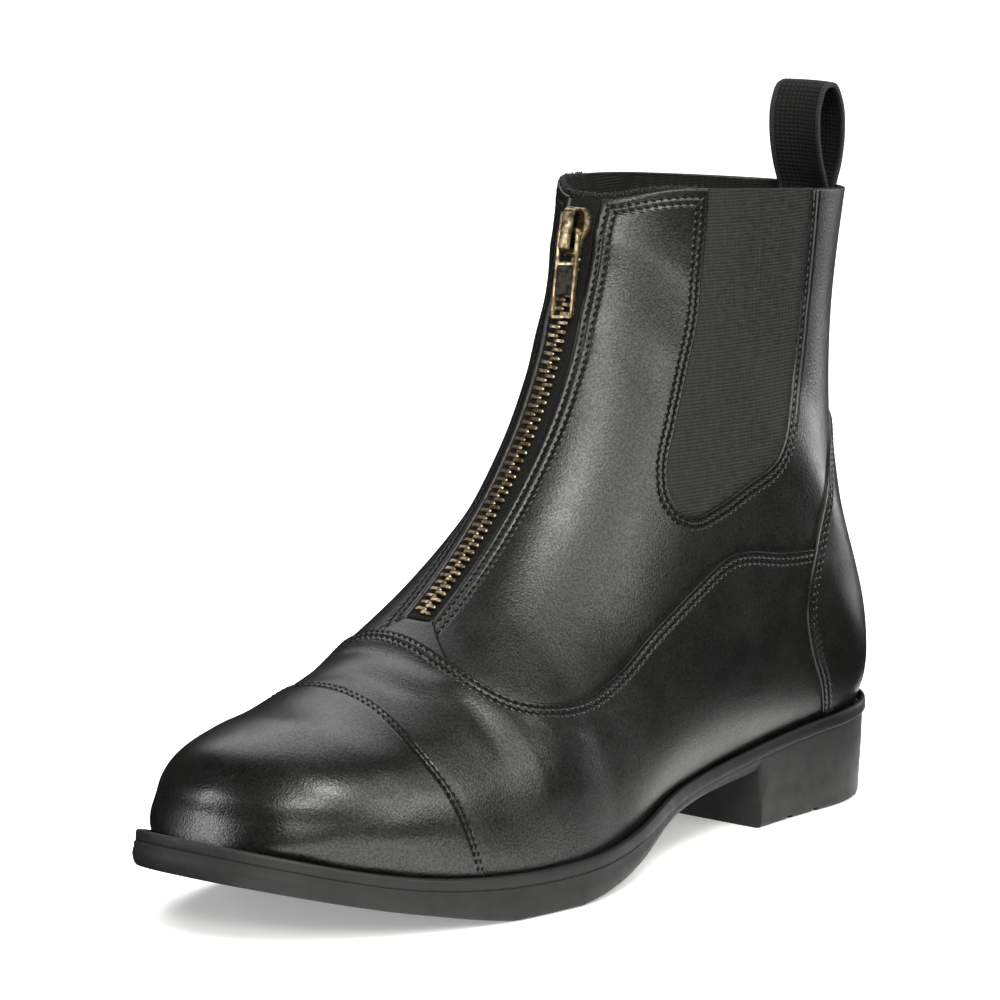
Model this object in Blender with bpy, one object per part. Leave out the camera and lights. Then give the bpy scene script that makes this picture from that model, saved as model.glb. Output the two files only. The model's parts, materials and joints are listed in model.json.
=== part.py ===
"""A left ankle boot with a front zip, elastic gussets and a moulded sole.

Sizes are in millimetres, measured from the back of the sole. The scene is in
metres, with +X towards the toe, +Y to the outer side and +Z up, and its origin
under the middle of the sole.
"""
from collections import namedtuple
import math

import bmesh
import bpy
import numpy as np
from mathutils import Matrix, Vector

MM = 0.001

# Gap between neighbouring pieces, and the thickness of each sheet.
GAP = 0.3
WALL = 2.0
CAP_SHEET = 1.2
VAMP_SHEET = 1.0
COUNTER_SHEET = 1.1
PANEL_FORE_FOOT = 0.9
ELASTIC_SHEET = 1.1
ELASTIC_DEPTH = 0.8
TAPE_SHEET = 0.9
TAPE_DEPTH = 1.0

# Outline of the sole, seen from above.
SOLE_LENGTH = 280.0
HEEL_ROUND = 34.0
HEEL_POWER = 2.3
BALL_AT = 178.0
TOE_POWER = 2.4
BREAST_AT = 70.0
BREAST_RAKE = 0.8
# x, half width from the round heel to where the toe curve starts
SOLE_HALVES = ((HEEL_ROUND, 30.5), (BREAST_AT, 30.3), (116.0, 34.4), (146.0, 44.8), (170.0, 50.2),
               (194.0, 50.2))
# x, middle of the outline across the sole
SOLE_MIDDLES = ((0.0, 0.3), (HEEL_ROUND, 0.3), (116.0, 3.4), (166.0, 1.7), (SOLE_LENGTH, -10.5))
# x, height of the bed that the upper stands on
SOLE_BEDS = ((0.0, 28.0), (64.0, 23.7), (118.0, 17.9), (160.0, 10.8), (192.0, 9.6), (235.0, 13.6),
             (SOLE_LENGTH, 25.0))
# x, height of the underside ahead of the heel, where less than nothing is trodden flat
SOLE_GROUNDS = ((BREAST_AT, 17.7), (118.0, 13.3), (160.0, 2.6), (190.0, -0.8), (235.0, 6.2),
                (SOLE_LENGTH, 17.0))

# The edge of the sole: the welt stands on the bed, round the upper.
# Each size is taken at the heel and at the forepart, and changes over the waist.
WELT_HIGH = 3.5
WELT_HEEL_IN = 0.0
WELT_FORE_IN = 1.0
WELT_HEEL_DEEP = 1.2
WELT_FORE_DEEP = 1.9
HEEL_FEATHER = 4.8
FORE_FEATHER = 5.0
TOE_FEATHER = 6.6
TOE_FULL_AT = 245.0
INSOLE_THICK = 2.5
INSOLE_IN = 9.4
INSOLE_STATIONS = 28
# Side of the outsole, from tread to bed: share of the way up, height added to it,
# and how far in from the outline the side lies at the heel and at the forepart.
SideStep = namedtuple("SideStep", "share lift heel_in fore_in")
SOLE_SIDE = (
    SideStep(0.0, 0.0, 3.4, 2.2),
    SideStep(0.0, 1.6, 2.0, 0.5),
    SideStep(0.5, 0.0, 1.3, 0.0),
    SideStep(1.0, -1.3, 0.9, 0.6),
    SideStep(1.0, 0.0, 2.0, 2.2),
)
# Section of the welt: height over the bed, and share of the way in from its edge.
WELT_SIDE = ((GAP, 0.35), (1.0, 0.0), (2.7, 0.05), (WELT_HIGH, 0.45), (WELT_HIGH - 0.2, 1.0), (GAP, 1.0))
SOLE_STATIONS = 32

# Sections of the upper, each a slanting plane from a point on the ridge of the
# foot (top_x, top_z) down to a low point. Up to the heel edge, low is the share
# of the way along the feather line from toe tip to heel back, and above it the
# height on the back seam. outer and inner are half widths, widest is the share
# of the way down where they lie, and crown and hem are the powers of the curves
# above and below it. ridge is where the top lies across the foot.
Section = namedtuple("Section", "name top_x top_z low outer inner widest crown hem ridge")
SECTIONS = (
    Section("toe_tip", 273.4, 24.4, 0.000, 1.0, 1.0, 0.60, 1.9, 2.5, -10.0),
    Section("toe_rim", 271.6, 31.0, 0.060, 16.2, 15.9, 0.62, 1.9, 2.5, -9.5),
    Section("toe_wall", 268.0, 42.3, 0.128, 28.2, 27.6, 0.64, 1.85, 2.5, -8.3),
    Section("toe_top", 259.8, 51.8, 0.192, 36.2, 35.4, 0.66, 2.0, 2.5, -7.2),
    Section("toe_crown", 245.6, 56.5, 0.242, 40.0, 39.3, 0.68, 2.15, 2.5, -6.0),
    Section("cap", 229.0, 59.7, 0.295, 42.4, 41.7, 0.70, 2.2, 2.5, -5.0),
    Section("ball", 200.0, 70.5, 0.368, 46.0, 45.0, 0.72, 2.1, 2.5, -4.3),
    Section("vamp", 175.5, 86.5, 0.460, 42.0, 38.0, 0.70, 2.0, 2.4, -3.6),
    Section("instep_low", 155.0, 105.5, 0.555, 37.8, 31.8, 0.68, 2.0, 2.3, -3.2),
    Section("instep", 138.2, 127.0, 0.645, 36.8, 30.4, 0.64, 2.0, 2.2, -3.2),
    Section("long_heel", 128.0, 146.5, 0.745, 36.8, 30.4, 0.60, 2.0, 2.1, -3.2),
    Section("heel_side", 123.6, 159.6, 0.848, 36.6, 31.0, 0.57, 2.05, 2.2, -3.2),
    Section("heel_corner", 121.5, 165.4, 0.928, 36.5, 31.2, 0.55, 2.08, 2.4, -3.2),
    Section("heel_edge", 119.8, 170.5, 1.000, 36.2, 31.4, 0.54, 2.1, 2.6, -3.2),
    Section("counter", 118.2, 176.5, 55.0, 34.8, 31.4, 0.53, 2.1, 2.6, -3.2),
    Section("ankle_low", 117.2, 182.0, 80.0, 32.4, 31.2, 0.52, 2.1, 2.2, -3.2),
    Section("ankle", 115.6, 187.0, 105.0, 30.6, 31.2, 0.50, 2.05, 1.98, -3.2),
    Section("shaft", 113.6, 191.5, 142.0, 30.4, 32.0, 0.50, 2.05, 1.93, -3.2),
    Section("collar", 111.6, 195.5, 186.0, 32.2, 33.6, 0.50, 2.05, 1.93, -3.2),
)
HEEL_EDGE = 13
# Back seam above the heel edge. The shaft is turned a little on the heel, so that
# its back lies to the outer side of the sole's middle.
# height, x
BACK_SEAM = ((55.0, 4.3), (80.0, 10.3), (105.0, 14.5), (142.0, 16.8), (186.0, 12.6))
# height, y
BACK_TURN = ((30.0, 0.3), (80.0, 1.6), (120.0, 3.6), (186.0, 5.4))
# Spans of the wall between two sections, and from the ridge to either end.
SPANS_ALONG = 2
SPANS_ROUND = 12

# Seams, seen from the side: x, z. They lean forward on the outer side.
SEAM_LEAN = 0.12
LEAN_FROM = 110.0
LEAN_TO = 200.0
# Places outside the boot, where the solids that cut it end.
SIDE_REACH = 80.0
PAST_TOE = 300.0
PAST_HEEL = -20.0
PAST_LOOP = 240.0
UNDER_SOLE = -10.0
CAP_SEAM = ((217.5, 72.0), (219.3, 60.0), (219.3, 54.0), (218.0, 48.0), (215.0, 41.0), (211.2, 31.0),
            (206.0, 16.0), (203.0, 2.0))
WING_SEAM = ((192.5, 84.0), (193.8, 76.0), (193.4, 70.5), (191.3, 66.0), (187.4, 61.8), (181.0, 58.4),
             (172.5, 56.6), (159.0, 56.2), (145.0, 60.4), (126.0, 71.5), (107.0, 81.4), (97.0, 86.0),
             (90.0, 87.6), (82.5, 87.2), (70.0, 85.0), (50.8, 83.4))
COUNTER_SEAM = ((2.0, 128.0), (22.0, 119.5), (38.0, 107.5), (46.3, 93.4), (50.8, 83.4), (54.2, 74.0),
                (55.2, 64.0), (51.0, 52.0), (43.0, 39.5), (35.0, 22.0))
GUSSET_FRONT = ((88.5, 204.0), (88.8, 184.0), (93.0, 160.0), (100.0, 142.0), (107.0, 127.0),
                (113.0, 113.0), (113.4, 107.0), (110.6, 102.5), (105.5, 100.5), (96.5, 102.0),
                (82.0, 106.8), (67.0, 113.0), (59.5, 119.2))
GUSSET_REAR = ((55.6, 130.0), (52.4, 155.0), (52.4, 204.0))

# Zip in the front of the shaft: a slot with tape in it, and the chain on the tape.
# Heights on the chain and the slider are distances from the outside of the upper.
ZIP_MIDDLE = -3.2
SLOT_HALF = 7.0
SLOT_FOOT = 77.8
ZIP_BACK = 80.0
CHAIN_HALF = 3.2
CHAIN_LOW = GAP - TAPE_DEPTH
CHAIN_SIDE = 0.1
CHAIN_HIGH = 0.6
CHAIN_RINGS = 18
CHAIN_FOOT = 79.2
SLIDER_AT = 182.0
SLIDER_TOP = 1.8
# up the zip from the bridge, half width
SLIDER_OUTLINE = ((-6.5, 3.4), (-2.0, 3.9), (3.5, 5.0), (6.0, 4.2))
BRIDGE_HALF = 1.2
BRIDGE_LONG = 4.6
BRIDGE_BAR = 1.1
BRIDGE_WINDOW = 1.8
BRIDGE_SUNK = 0.4
# The pull tab hangs by the bar at its head, between the slider and its bridge.
PULL_THICK = 1.1
PULL_REST_LIFT = 3.0
PULL_HALF = 3.6
PULL_ARM = 1.2
PULL_WINDOWS = ((-0.55, -9.2), (-18.8, -24.4))
PULL_ENDS = (0.55, -25.6)

# Webbing loop at the back of the collar: x, z of its middle line, from the leg by
# the wall up and over to the other leg.
LOOP_WIDE = 19.0
LOOP_MIDDLE = 5.4
LOOP_THICK = 1.6
LOOP_BOW = 19.0
LOOP_SPANS = 4
LOOP_ROUTE = ((19.5, 168.0), (17.7, 179.0), (16.4, 187.0), (12.8, 197.0), (11.6, 206.0), (12.8, 214.5),
              (16.2, 219.4), (20.0, 219.2), (23.4, 213.5), (24.0, 206.0), (22.2, 196.0), (19.2, 187.0),
              (19.8, 179.0), (21.6, 168.0))

# Treads of the outsole: grooves across the heel, and across the forepart inside its rim.
GROOVE_WIDE = 3.0
GROOVE_DEEP = 1.2
GROOVE_BELOW = 8.0
HEEL_GROOVES = (18.0, 41.0, 54.0)
FORE_GROOVES = (150.0, 163.0, 176.0, 202.0, 215.0, 228.0, 241.0)
FORE_RIM = 9.0


def smooth(table, at):
    """Value at a place on the smooth curve through the rows (place, value)."""
    knots, values = np.array(table, float).T
    at = np.asarray(at, float)
    steps = np.diff(knots)
    rises = np.diff(values) / steps
    slopes = np.empty_like(values)
    slopes[1:-1] = (rises[:-1] * steps[1:] + rises[1:] * steps[:-1]) / (steps[1:] + steps[:-1])
    slopes[0] = 1.5 * rises[0] - 0.5 * slopes[1]
    slopes[-1] = 1.5 * rises[-1] - 0.5 * slopes[-2]
    i = np.clip(np.searchsorted(knots, at, side="right") - 1, 0, len(steps) - 1)
    t = (at - knots[i]) / steps[i]
    near = values[i] * (1 + 2 * t) * (1 - t) ** 2 + values[i + 1] * t * t * (3 - 2 * t)
    return near + steps[i] * (slopes[i] * t * (1 - t) ** 2 - slopes[i + 1] * t * t * (1 - t))


def blend(at, start, end):
    """Soft step from 0 at start to 1 at end."""
    t = np.clip((np.asarray(at, float) - start) / (end - start), 0, 1)
    return t * t * (3 - 2 * t)


def outline_half(x, inset=0.0):
    """Half width of the sole's outline at x, drawn in by inset all round."""
    half = smooth(SOLE_HALVES, np.clip(x, HEEL_ROUND, BALL_AT)) - inset
    toe = np.clip((x - BALL_AT) / (SOLE_LENGTH - inset - BALL_AT), 0, 1)
    heel = np.clip((HEEL_ROUND - x) / (HEEL_ROUND - inset), 0, 1)
    toe_curve = (1 - toe ** TOE_POWER) ** (1 / TOE_POWER)
    heel_curve = (1 - heel ** HEEL_POWER) ** (1 / HEEL_POWER)
    return half * toe_curve * heel_curve


def stations(count, inset=0.0):
    """Places along the sole from toe to heel, closer together at both ends."""
    turn = np.linspace(0, math.pi, count)
    return inset + (SOLE_LENGTH - 2 * inset) * (0.5 + 0.5 * np.cos(turn))


def outline_loop(x, inset=0.0):
    """Loop round the sole: the outer side from toe to heel, then the inner side back."""
    half = outline_half(x, inset)
    middle = smooth(SOLE_MIDDLES, x)
    outer = np.column_stack([x, middle + half])
    inner = np.column_stack([x, middle - half])
    return np.vstack([outer, inner[-2:0:-1]])


def drawn_in(loop, inset):
    """The loop moved inwards by an inset for each of its points."""
    along = np.roll(loop, -1, axis=0) - np.roll(loop, 1, axis=0)
    along /= np.linalg.norm(along, axis=1)[:, None]
    outwards = np.column_stack([along[:, 1], -along[:, 0]])
    return loop - outwards * np.asarray(inset)[:, None]


def bed(x):
    """Height of the bed that the upper stands on."""
    return smooth(SOLE_BEDS, np.clip(x, 0, SOLE_LENGTH))


def ground(x):
    """Height of the underside of the sole."""
    ahead = np.maximum(0, smooth(SOLE_GROUNDS, np.clip(x, BREAST_AT, SOLE_LENGTH)))
    return np.where(x < BREAST_AT, 0.0, ahead)


def column(name):
    """One column of the table of sections, with the row numbers that go with it."""
    return [(row, getattr(section, name)) for row, section in enumerate(SECTIONS)]


def along_sole(x, heel, fore):
    """A size that changes over the waist from its value at the heel to the one at the forepart."""
    return heel + (fore - heel) * blend(x, BREAST_AT, BALL_AT)


def feather_inset(x):
    """How far in from the edge of the sole the upper stands."""
    toe = (TOE_FEATHER - FORE_FEATHER) * blend(x, BALL_AT, TOE_FULL_AT)
    return along_sole(x, HEEL_FEATHER, FORE_FEATHER) + toe


def feather_line():
    """The upper's lower edge from toe tip to heel back: share of its length, x, middle, half width."""
    x = np.clip(stations(240), HEEL_FEATHER, SOLE_LENGTH - TOE_FEATHER)
    middle = smooth(SOLE_MIDDLES, x)
    half = outline_half(x, feather_inset(x))
    length = np.concatenate([[0], np.cumsum(np.hypot(np.diff(x), np.diff(half)))])
    return length / length[-1], x, middle, half


FEATHER_LINE = feather_line()


def low_point(row):
    """Low end of the section at a row: x, y, z and the half width that the section ends with."""
    share, x, middle, half = FEATHER_LINE
    lows = column("low")
    if row <= HEEL_EDGE:
        at = float(np.clip(smooth(lows[:HEEL_EDGE + 1], row), 0, 1))
        low_x = np.interp(at, share, x)
        return low_x, np.interp(at, share, middle), bed(low_x) + GAP, np.interp(at, share, half)
    heel_z = float(bed(HEEL_FEATHER)) + GAP
    low_z = smooth([(HEEL_EDGE, heel_z)] + lows[HEEL_EDGE + 1:], row)
    low_x = smooth(((heel_z, HEEL_FEATHER),) + BACK_SEAM, low_z)
    return low_x, smooth(BACK_TURN, low_z), low_z, 0.0


def half_section(crown, hem, wide, widest, end, samples=40):
    """Half a girth section: shares of the way down, and the half width at each."""
    wide = max(wide, end + GAP)
    over = np.linspace(0, math.pi / 2, samples)
    down_over = widest * (1 - np.cos(over) ** (2 / crown))
    wide_over = wide * np.sin(over) ** (2 / crown)
    reach = (1 - (end / wide) ** hem) ** (1 / hem)
    under = np.linspace(0, math.asin(min(1, reach ** (hem / 2))), samples)[1:]
    down_under = widest + (1 - widest) / reach * np.sin(under) ** (2 / hem)
    wide_under = wide * np.cos(under) ** (2 / hem)
    return np.concatenate([down_over, down_under]), np.concatenate([wide_over, wide_under])


def girth_shares():
    """Shares of a half girth, closer together at the ridge and at the low end."""
    t = np.linspace(0, 1, SPANS_ROUND + 1)
    return t - 0.25 * np.sin(2 * math.pi * t) / (2 * math.pi)


def girth(row):
    """Points of one section, from the inner low end over the ridge to the outer low end."""
    at = {name: float(smooth(column(name), row)) for name in Section._fields[1:] if name != "low"}
    low_x, low_y, low_z, end = low_point(row)
    halves = []
    for side, wide in ((1, at["outer"]), (-1, at["inner"])):
        down, half = half_section(at["crown"], at["hem"], wide, at["widest"], end)
        points = np.column_stack([
            at["top_x"] + (low_x - at["top_x"]) * down,
            at["ridge"] + (low_y - at["ridge"]) * down + side * half,
            at["top_z"] + (low_z - at["top_z"]) * down,
        ])
        length = np.concatenate([[0], np.cumsum(np.linalg.norm(np.diff(points, axis=0), axis=1))])
        places = girth_shares() * length[-1]
        halves.append(np.column_stack([np.interp(places, length, points[:, k]) for k in range(3)]))
    outer, inner = halves
    return np.vstack([inner[::-1], outer[1:]])


def upper_sheet():
    """The outside of the upper: points, their outward directions, triangles, and pairs of points,
    one on the low edge and the next one up from it."""
    rows = np.linspace(0, len(SECTIONS) - 1, (len(SECTIONS) - 1) * SPANS_ALONG + 1)
    across = 2 * SPANS_ROUND
    points = []
    index = []
    low_edge = []
    for row in rows:
        line = girth(row)
        first = len(points)
        if row == 0:
            points.append(line.mean(axis=0))
            index.append([first] * (across + 1))
            low_edge.append((first, first + 1 + SPANS_ROUND))
        elif row < HEEL_EDGE:
            points.extend(line)
            index.append([first + k for k in range(across + 1)])
            low_edge += [(first, first + 1), (first + across, first + across - 1)]
        else:
            points.extend(line[:-1])
            index.append([first + k % across for k in range(across + 1)])
            if row == HEEL_EDGE:
                low_edge.append((first, first + across))
    points = np.array(points)
    triangles = []
    for here, there in zip(index[:-1], index[1:]):
        for k in range(across):
            a, b, c, d = here[k], here[k + 1], there[k + 1], there[k]
            if np.linalg.norm(points[a] - points[c]) < np.linalg.norm(points[b] - points[d]):
                pair = ((a, b, c), (a, c, d))
            else:
                pair = ((a, b, d), (b, c, d))
            triangles += [corner for corner in pair if len(set(corner)) == 3]
    triangles = np.array(triangles)
    outwards = np.zeros_like(points)
    a, b, c = (points[triangles[:, k]] for k in range(3))
    facing = np.cross(b - a, c - a)
    for k in range(3):
        np.add.at(outwards, triangles[:, k], facing)
    low_edge = np.array(low_edge)
    outwards[low_edge[:, 0], 2] = 0
    outwards /= np.linalg.norm(outwards, axis=1)[:, None]
    return points, outwards, triangles, low_edge


SHEET = upper_sheet()


def sheet_at(distance):
    """Points at a distance out from the upper, with the low edge kept over the bed, behind the welt."""
    points, outwards, _, low_edge = SHEET
    moved = points + outwards * distance
    edge, above = moved[low_edge[:, 0]], moved[low_edge[:, 1]]
    lift = along_sole(edge[:, 0], GAP, PANEL_FORE_FOOT) if distance > 0 else GAP
    foot = bed(edge[:, 0]) + lift
    share = np.clip((foot - edge[:, 2]) / (above[:, 2] - edge[:, 2]), -1.0, 0.75)
    moved[low_edge[:, 0]] += share[:, None] * (above - edge)
    return moved


def sheet_between(low, high):
    """Closed wall between two distances from the outside of the upper."""
    triangles = SHEET[2]
    count = len(SHEET[0])
    faces = [tuple(corners) for corners in triangles]
    edges = {}
    for a, b, c in triangles:
        for start, end in ((a, b), (b, c), (c, a)):
            edges[(start, end)] = True
    rim = [(start, end) for start, end in edges if (end, start) not in edges]
    faces += [tuple(corner + count for corner in reversed(corners)) for corners in triangles]
    faces += [(end, start, start + count, end + count) for start, end in rim]
    return np.vstack([sheet_at(high), sheet_at(low)]), faces


def seam_curve(table, per_span=2):
    """Points on the smooth curve through the rows (x, z) of a seam."""
    table = np.array(table)
    length = np.concatenate([[0], np.cumsum(np.linalg.norm(np.diff(table, axis=0), axis=1))])
    places = np.interp(np.arange((len(table) - 1) * per_span + 1) / per_span, range(len(table)), length)
    return np.column_stack([smooth(list(zip(length, table[:, k])), places) for k in range(2)])


def shrunk(outline, by):
    """A closed outline moved inwards, whichever way round it runs."""
    along = np.roll(outline, -1, axis=0) - np.roll(outline, 1, axis=0)
    along /= np.linalg.norm(along, axis=1)[:, None]
    x, z = outline.T
    turn = np.sign(np.sum(x * np.roll(z, -1) - z * np.roll(x, -1)))
    return outline + turn * by * np.column_stack([-along[:, 1], along[:, 0]])


def side_prism(outline, low_y=-SIDE_REACH, high_y=SIDE_REACH):
    """Solid between two sides whose outline, seen from the side, is given."""
    count = len(outline)
    lean = SEAM_LEAN * blend(outline[:, 0], LEAN_FROM, LEAN_TO)
    ends = []
    for y in (low_y, high_y):
        ends.append(np.column_stack([outline[:, 0] + lean * y, np.full(count, y), outline[:, 1]]))
    faces = [tuple(range(count)), tuple(range(2 * count - 1, count - 1, -1))]
    for k in range(count):
        after = (k + 1) % count
        faces.append((k, after, count + after, count + k))
    return np.vstack(ends), faces


def box(low, high):
    """Points and faces of a block between two corners."""
    corners = [(x, y, z) for z in (low[2], high[2]) for y in (low[1], high[1]) for x in (low[0], high[0])]
    faces = [(0, 2, 3, 1), (4, 5, 7, 6), (0, 1, 5, 4), (2, 6, 7, 3), (0, 4, 6, 2), (1, 3, 7, 5)]
    return np.array(corners), faces


def loft(rings, closed=False):
    """Skin over a row of loops with the same number of points, capped unless it closes on itself."""
    count = len(rings[0])
    faces = []
    pairs = [(k, k + 1) for k in range(len(rings) - 1)]
    if closed:
        pairs.append((len(rings) - 1, 0))
    else:
        faces += [tuple(range(count))[::-1], tuple((len(rings) - 1) * count + k for k in range(count))]
    for low, high in pairs:
        for k in range(count):
            after = (k + 1) % count
            faces.append((low * count + k, low * count + after, high * count + after, high * count + k))
    return np.vstack(rings), faces


def strip_caps(points, faces, count):
    """Replace the two caps of a loft round the sole by strips that cross it."""
    last = len(points) - count
    strips = []
    for k in range(count // 2):
        corners = (k, k + 1, (count - k - 1) % count, (count - k) % count)
        top = [last + corner for corner in dict.fromkeys(corners)]
        low = list(dict.fromkeys(corners))[::-1]
        strips += [tuple(low), tuple(top)]
    return points, strips + faces[2:]


SHIFT = np.array([SOLE_LENGTH / 2, 0.0, 0.0])
SHIFT[1] = 0.5 * (outline_loop(stations(400))[:, 1].max() + outline_loop(stations(400))[:, 1].min())


def finish(name, colour, roughness, metallic=0.0):
    """A plain material for one piece."""
    material = bpy.data.materials.new(name)
    material.use_nodes = True
    shader = material.node_tree.nodes["Principled BSDF"]
    shader.inputs["Base Color"].default_value = (*colour, 1.0)
    shader.inputs["Roughness"].default_value = roughness
    shader.inputs["Metallic"].default_value = metallic
    return material


def add_solid(name, shape, material=None, frame=None):
    """Object from points in millimetres and faces, in the boot's frame or in a frame of its own."""
    points, faces = shape
    if frame is None:
        points = points - SHIFT
    mesh = bpy.data.meshes.new(name)
    mesh.from_pydata((points * MM).tolist(), [], faces)
    work = bmesh.new()
    work.from_mesh(mesh)
    bmesh.ops.recalc_face_normals(work, faces=work.faces)
    work.to_mesh(mesh)
    work.free()
    mesh.shade_smooth()
    mesh.set_sharp_from_angle(angle=math.radians(35))
    solid = bpy.data.objects.new(name, mesh)
    bpy.context.collection.objects.link(solid)
    solid.parent = bpy.data.objects["boot"]
    if frame is not None:
        solid.matrix_local = frame
    if material is None:
        solid.hide_render = True
        solid.display_type = "WIRE"
    else:
        mesh.materials.append(material)
    return solid


def cut(solid, cutter, operation):
    """Boolean of a solid with a cutter."""
    step = solid.modifiers.new(cutter.name, "BOOLEAN")
    step.operation = operation
    step.solver = "EXACT"
    step.object = cutter


def sole_stations():
    """Stations along the outsole, with a pair of them at the step in front of the heel."""
    x = stations(SOLE_STATIONS)
    x = x[np.abs(x - BREAST_AT) > 2 * BREAST_RAKE]
    return np.sort(np.concatenate([x, [BREAST_AT - BREAST_RAKE, BREAST_AT + BREAST_RAKE]]))[::-1]


def make_outsole():
    """Moulded unit with forepart, raised waist and block heel."""
    loop = outline_loop(sole_stations())
    x = loop[:, 0]
    low = ground(x)
    rings = []
    for step in SOLE_SIDE:
        edge = drawn_in(loop, along_sole(x, step.heel_in, step.fore_in))
        height = bed(edge[:, 0]) - low
        rings.append(np.column_stack([edge, low + step.share * height + step.lift]))
    points, faces = loft(rings)
    rubber = finish("rubber", (0.045, 0.046, 0.047), 0.75)
    outsole = add_solid("outsole", strip_caps(points, faces, len(loop)), rubber)
    for k, at in enumerate(HEEL_GROOVES + FORE_GROOVES):
        if at < BREAST_AT:
            reach = SIDE_REACH
        else:
            reach = float(outline_half(np.array(at))) - FORE_RIM
        middle = float(smooth(SOLE_MIDDLES, at))
        floor = float(ground(np.array(at)))
        groove = box((at - GROOVE_WIDE / 2, middle - reach, floor - GROOVE_BELOW),
                     (at + GROOVE_WIDE / 2, middle + reach, floor + GROOVE_DEEP))
        cut(outsole, add_solid(f"groove_{k}", groove), "DIFFERENCE")


def make_welt():
    """Rubber strip on the rim of the sole, round the foot of the upper."""
    loop = outline_loop(stations(SOLE_STATIONS))
    x = loop[:, 0]
    rim = along_sole(x, WELT_HEEL_IN, WELT_FORE_IN)
    deep = along_sole(x, WELT_HEEL_DEEP, WELT_FORE_DEEP)
    rings = []
    for lift, share in WELT_SIDE:
        edge = drawn_in(loop, rim + share * deep)
        rings.append(np.column_stack([edge, bed(edge[:, 0]) + lift]))
    add_solid("welt", loft(rings, closed=True), finish("welt_rubber", (0.03, 0.031, 0.032), 0.65))


def make_insole():
    """Board and sock that the foot stands on."""
    loop = outline_loop(stations(INSOLE_STATIONS, INSOLE_IN), INSOLE_IN)
    x = loop[:, 0]
    rings = [np.column_stack([loop, bed(x) + lift]) for lift in (GAP, GAP + INSOLE_THICK)]
    points, faces = loft(rings)
    add_solid("insole", strip_caps(points, faces, len(loop)), finish("sock", (0.03, 0.03, 0.03), 0.95))


def gusset_outline():
    """Outline of an elastic gusset, open above at the collar."""
    return np.vstack([seam_curve(GUSSET_FRONT), seam_curve(GUSSET_REAR)])


def zip_box(half, foot):
    """Block through the front of the shaft, for the slot and what lies in it."""
    return box((ZIP_BACK, ZIP_MIDDLE - half, foot), (PAST_TOE, ZIP_MIDDLE + half, PAST_LOOP))


def make_upper():
    """Hollow leather wall with a slot for the zip and a window for each gusset."""
    upper = add_solid("upper", sheet_between(-WALL, 0.0), finish("leather", (0.02, 0.02, 0.02), 0.4))
    cut(upper, add_solid("gusset_windows", side_prism(gusset_outline())), "DIFFERENCE")
    cut(upper, add_solid("zip_slot", zip_box(SLOT_HALF, SLOT_FOOT)), "DIFFERENCE")


def make_overlays():
    """Toe cap, vamp and heel counter, cut out of thin sheets over the upper."""
    cap = seam_curve(CAP_SEAM)
    wing = seam_curve(WING_SEAM)
    counter = seam_curve(COUNTER_SEAM)
    corner = int(np.argmin(np.linalg.norm(counter - wing[-1], axis=1)))
    ahead = np.array([(PAST_TOE, cap[-1, 1]), (PAST_TOE, cap[0, 1])])
    behind = np.array([(PAST_HEEL, UNDER_SOLE), (PAST_HEEL, counter[0, 1])])
    lower_counter = counter[corner:] + (2 * GAP, 0)
    below = np.array([(lower_counter[-1, 0], UNDER_SOLE), (cap[-1, 0], UNDER_SOLE)])
    vamp = np.vstack([wing[:-1], lower_counter, below, cap[::-1] - (GAP, 0)])
    panels = (
        ("toe_cap", CAP_SHEET, np.vstack([cap, ahead]), (0.022, 0.022, 0.022)),
        ("vamp", VAMP_SHEET, vamp, (0.02, 0.02, 0.02)),
        ("heel_counter", COUNTER_SHEET, np.vstack([counter, behind]), (0.018, 0.018, 0.018)),
    )
    for name, thick, outline, colour in panels:
        panel = add_solid(name, sheet_between(GAP, GAP + thick), finish(name + "_leather", colour, 0.35))
        cut(panel, add_solid(name + "_outline", side_prism(outline)), "INTERSECT")


def make_gussets():
    """Elastic panels in the two windows."""
    outline = shrunk(gusset_outline(), GAP)
    for name, low_y, high_y in (("gusset_lateral", 0.0, SIDE_REACH), ("gusset_medial", -SIDE_REACH, 0.0)):
        wall = sheet_between(-ELASTIC_DEPTH - ELASTIC_SHEET, -ELASTIC_DEPTH)
        panel = add_solid(name, wall, finish(name + "_elastic", (0.03, 0.03, 0.031), 0.9))
        cut(panel, add_solid(name + "_outline", side_prism(outline, low_y, high_y)), "INTERSECT")


def ridge_frame(height):
    """Point on the ridge at a height, and the directions up the zip and out of it."""
    rows = np.linspace(0, len(SECTIONS) - 1, 800)
    x = smooth(column("top_x"), rows)
    z = smooth(column("top_z"), rows)
    k = int(np.argmin(np.abs(z - height)))
    up = np.array([x[k + 4] - x[k - 4], 0.0, z[k + 4] - z[k - 4]])
    up /= np.linalg.norm(up)
    return np.array([x[k], ZIP_MIDDLE, z[k]]), up, np.array([up[2], 0.0, -up[0]])


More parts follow.
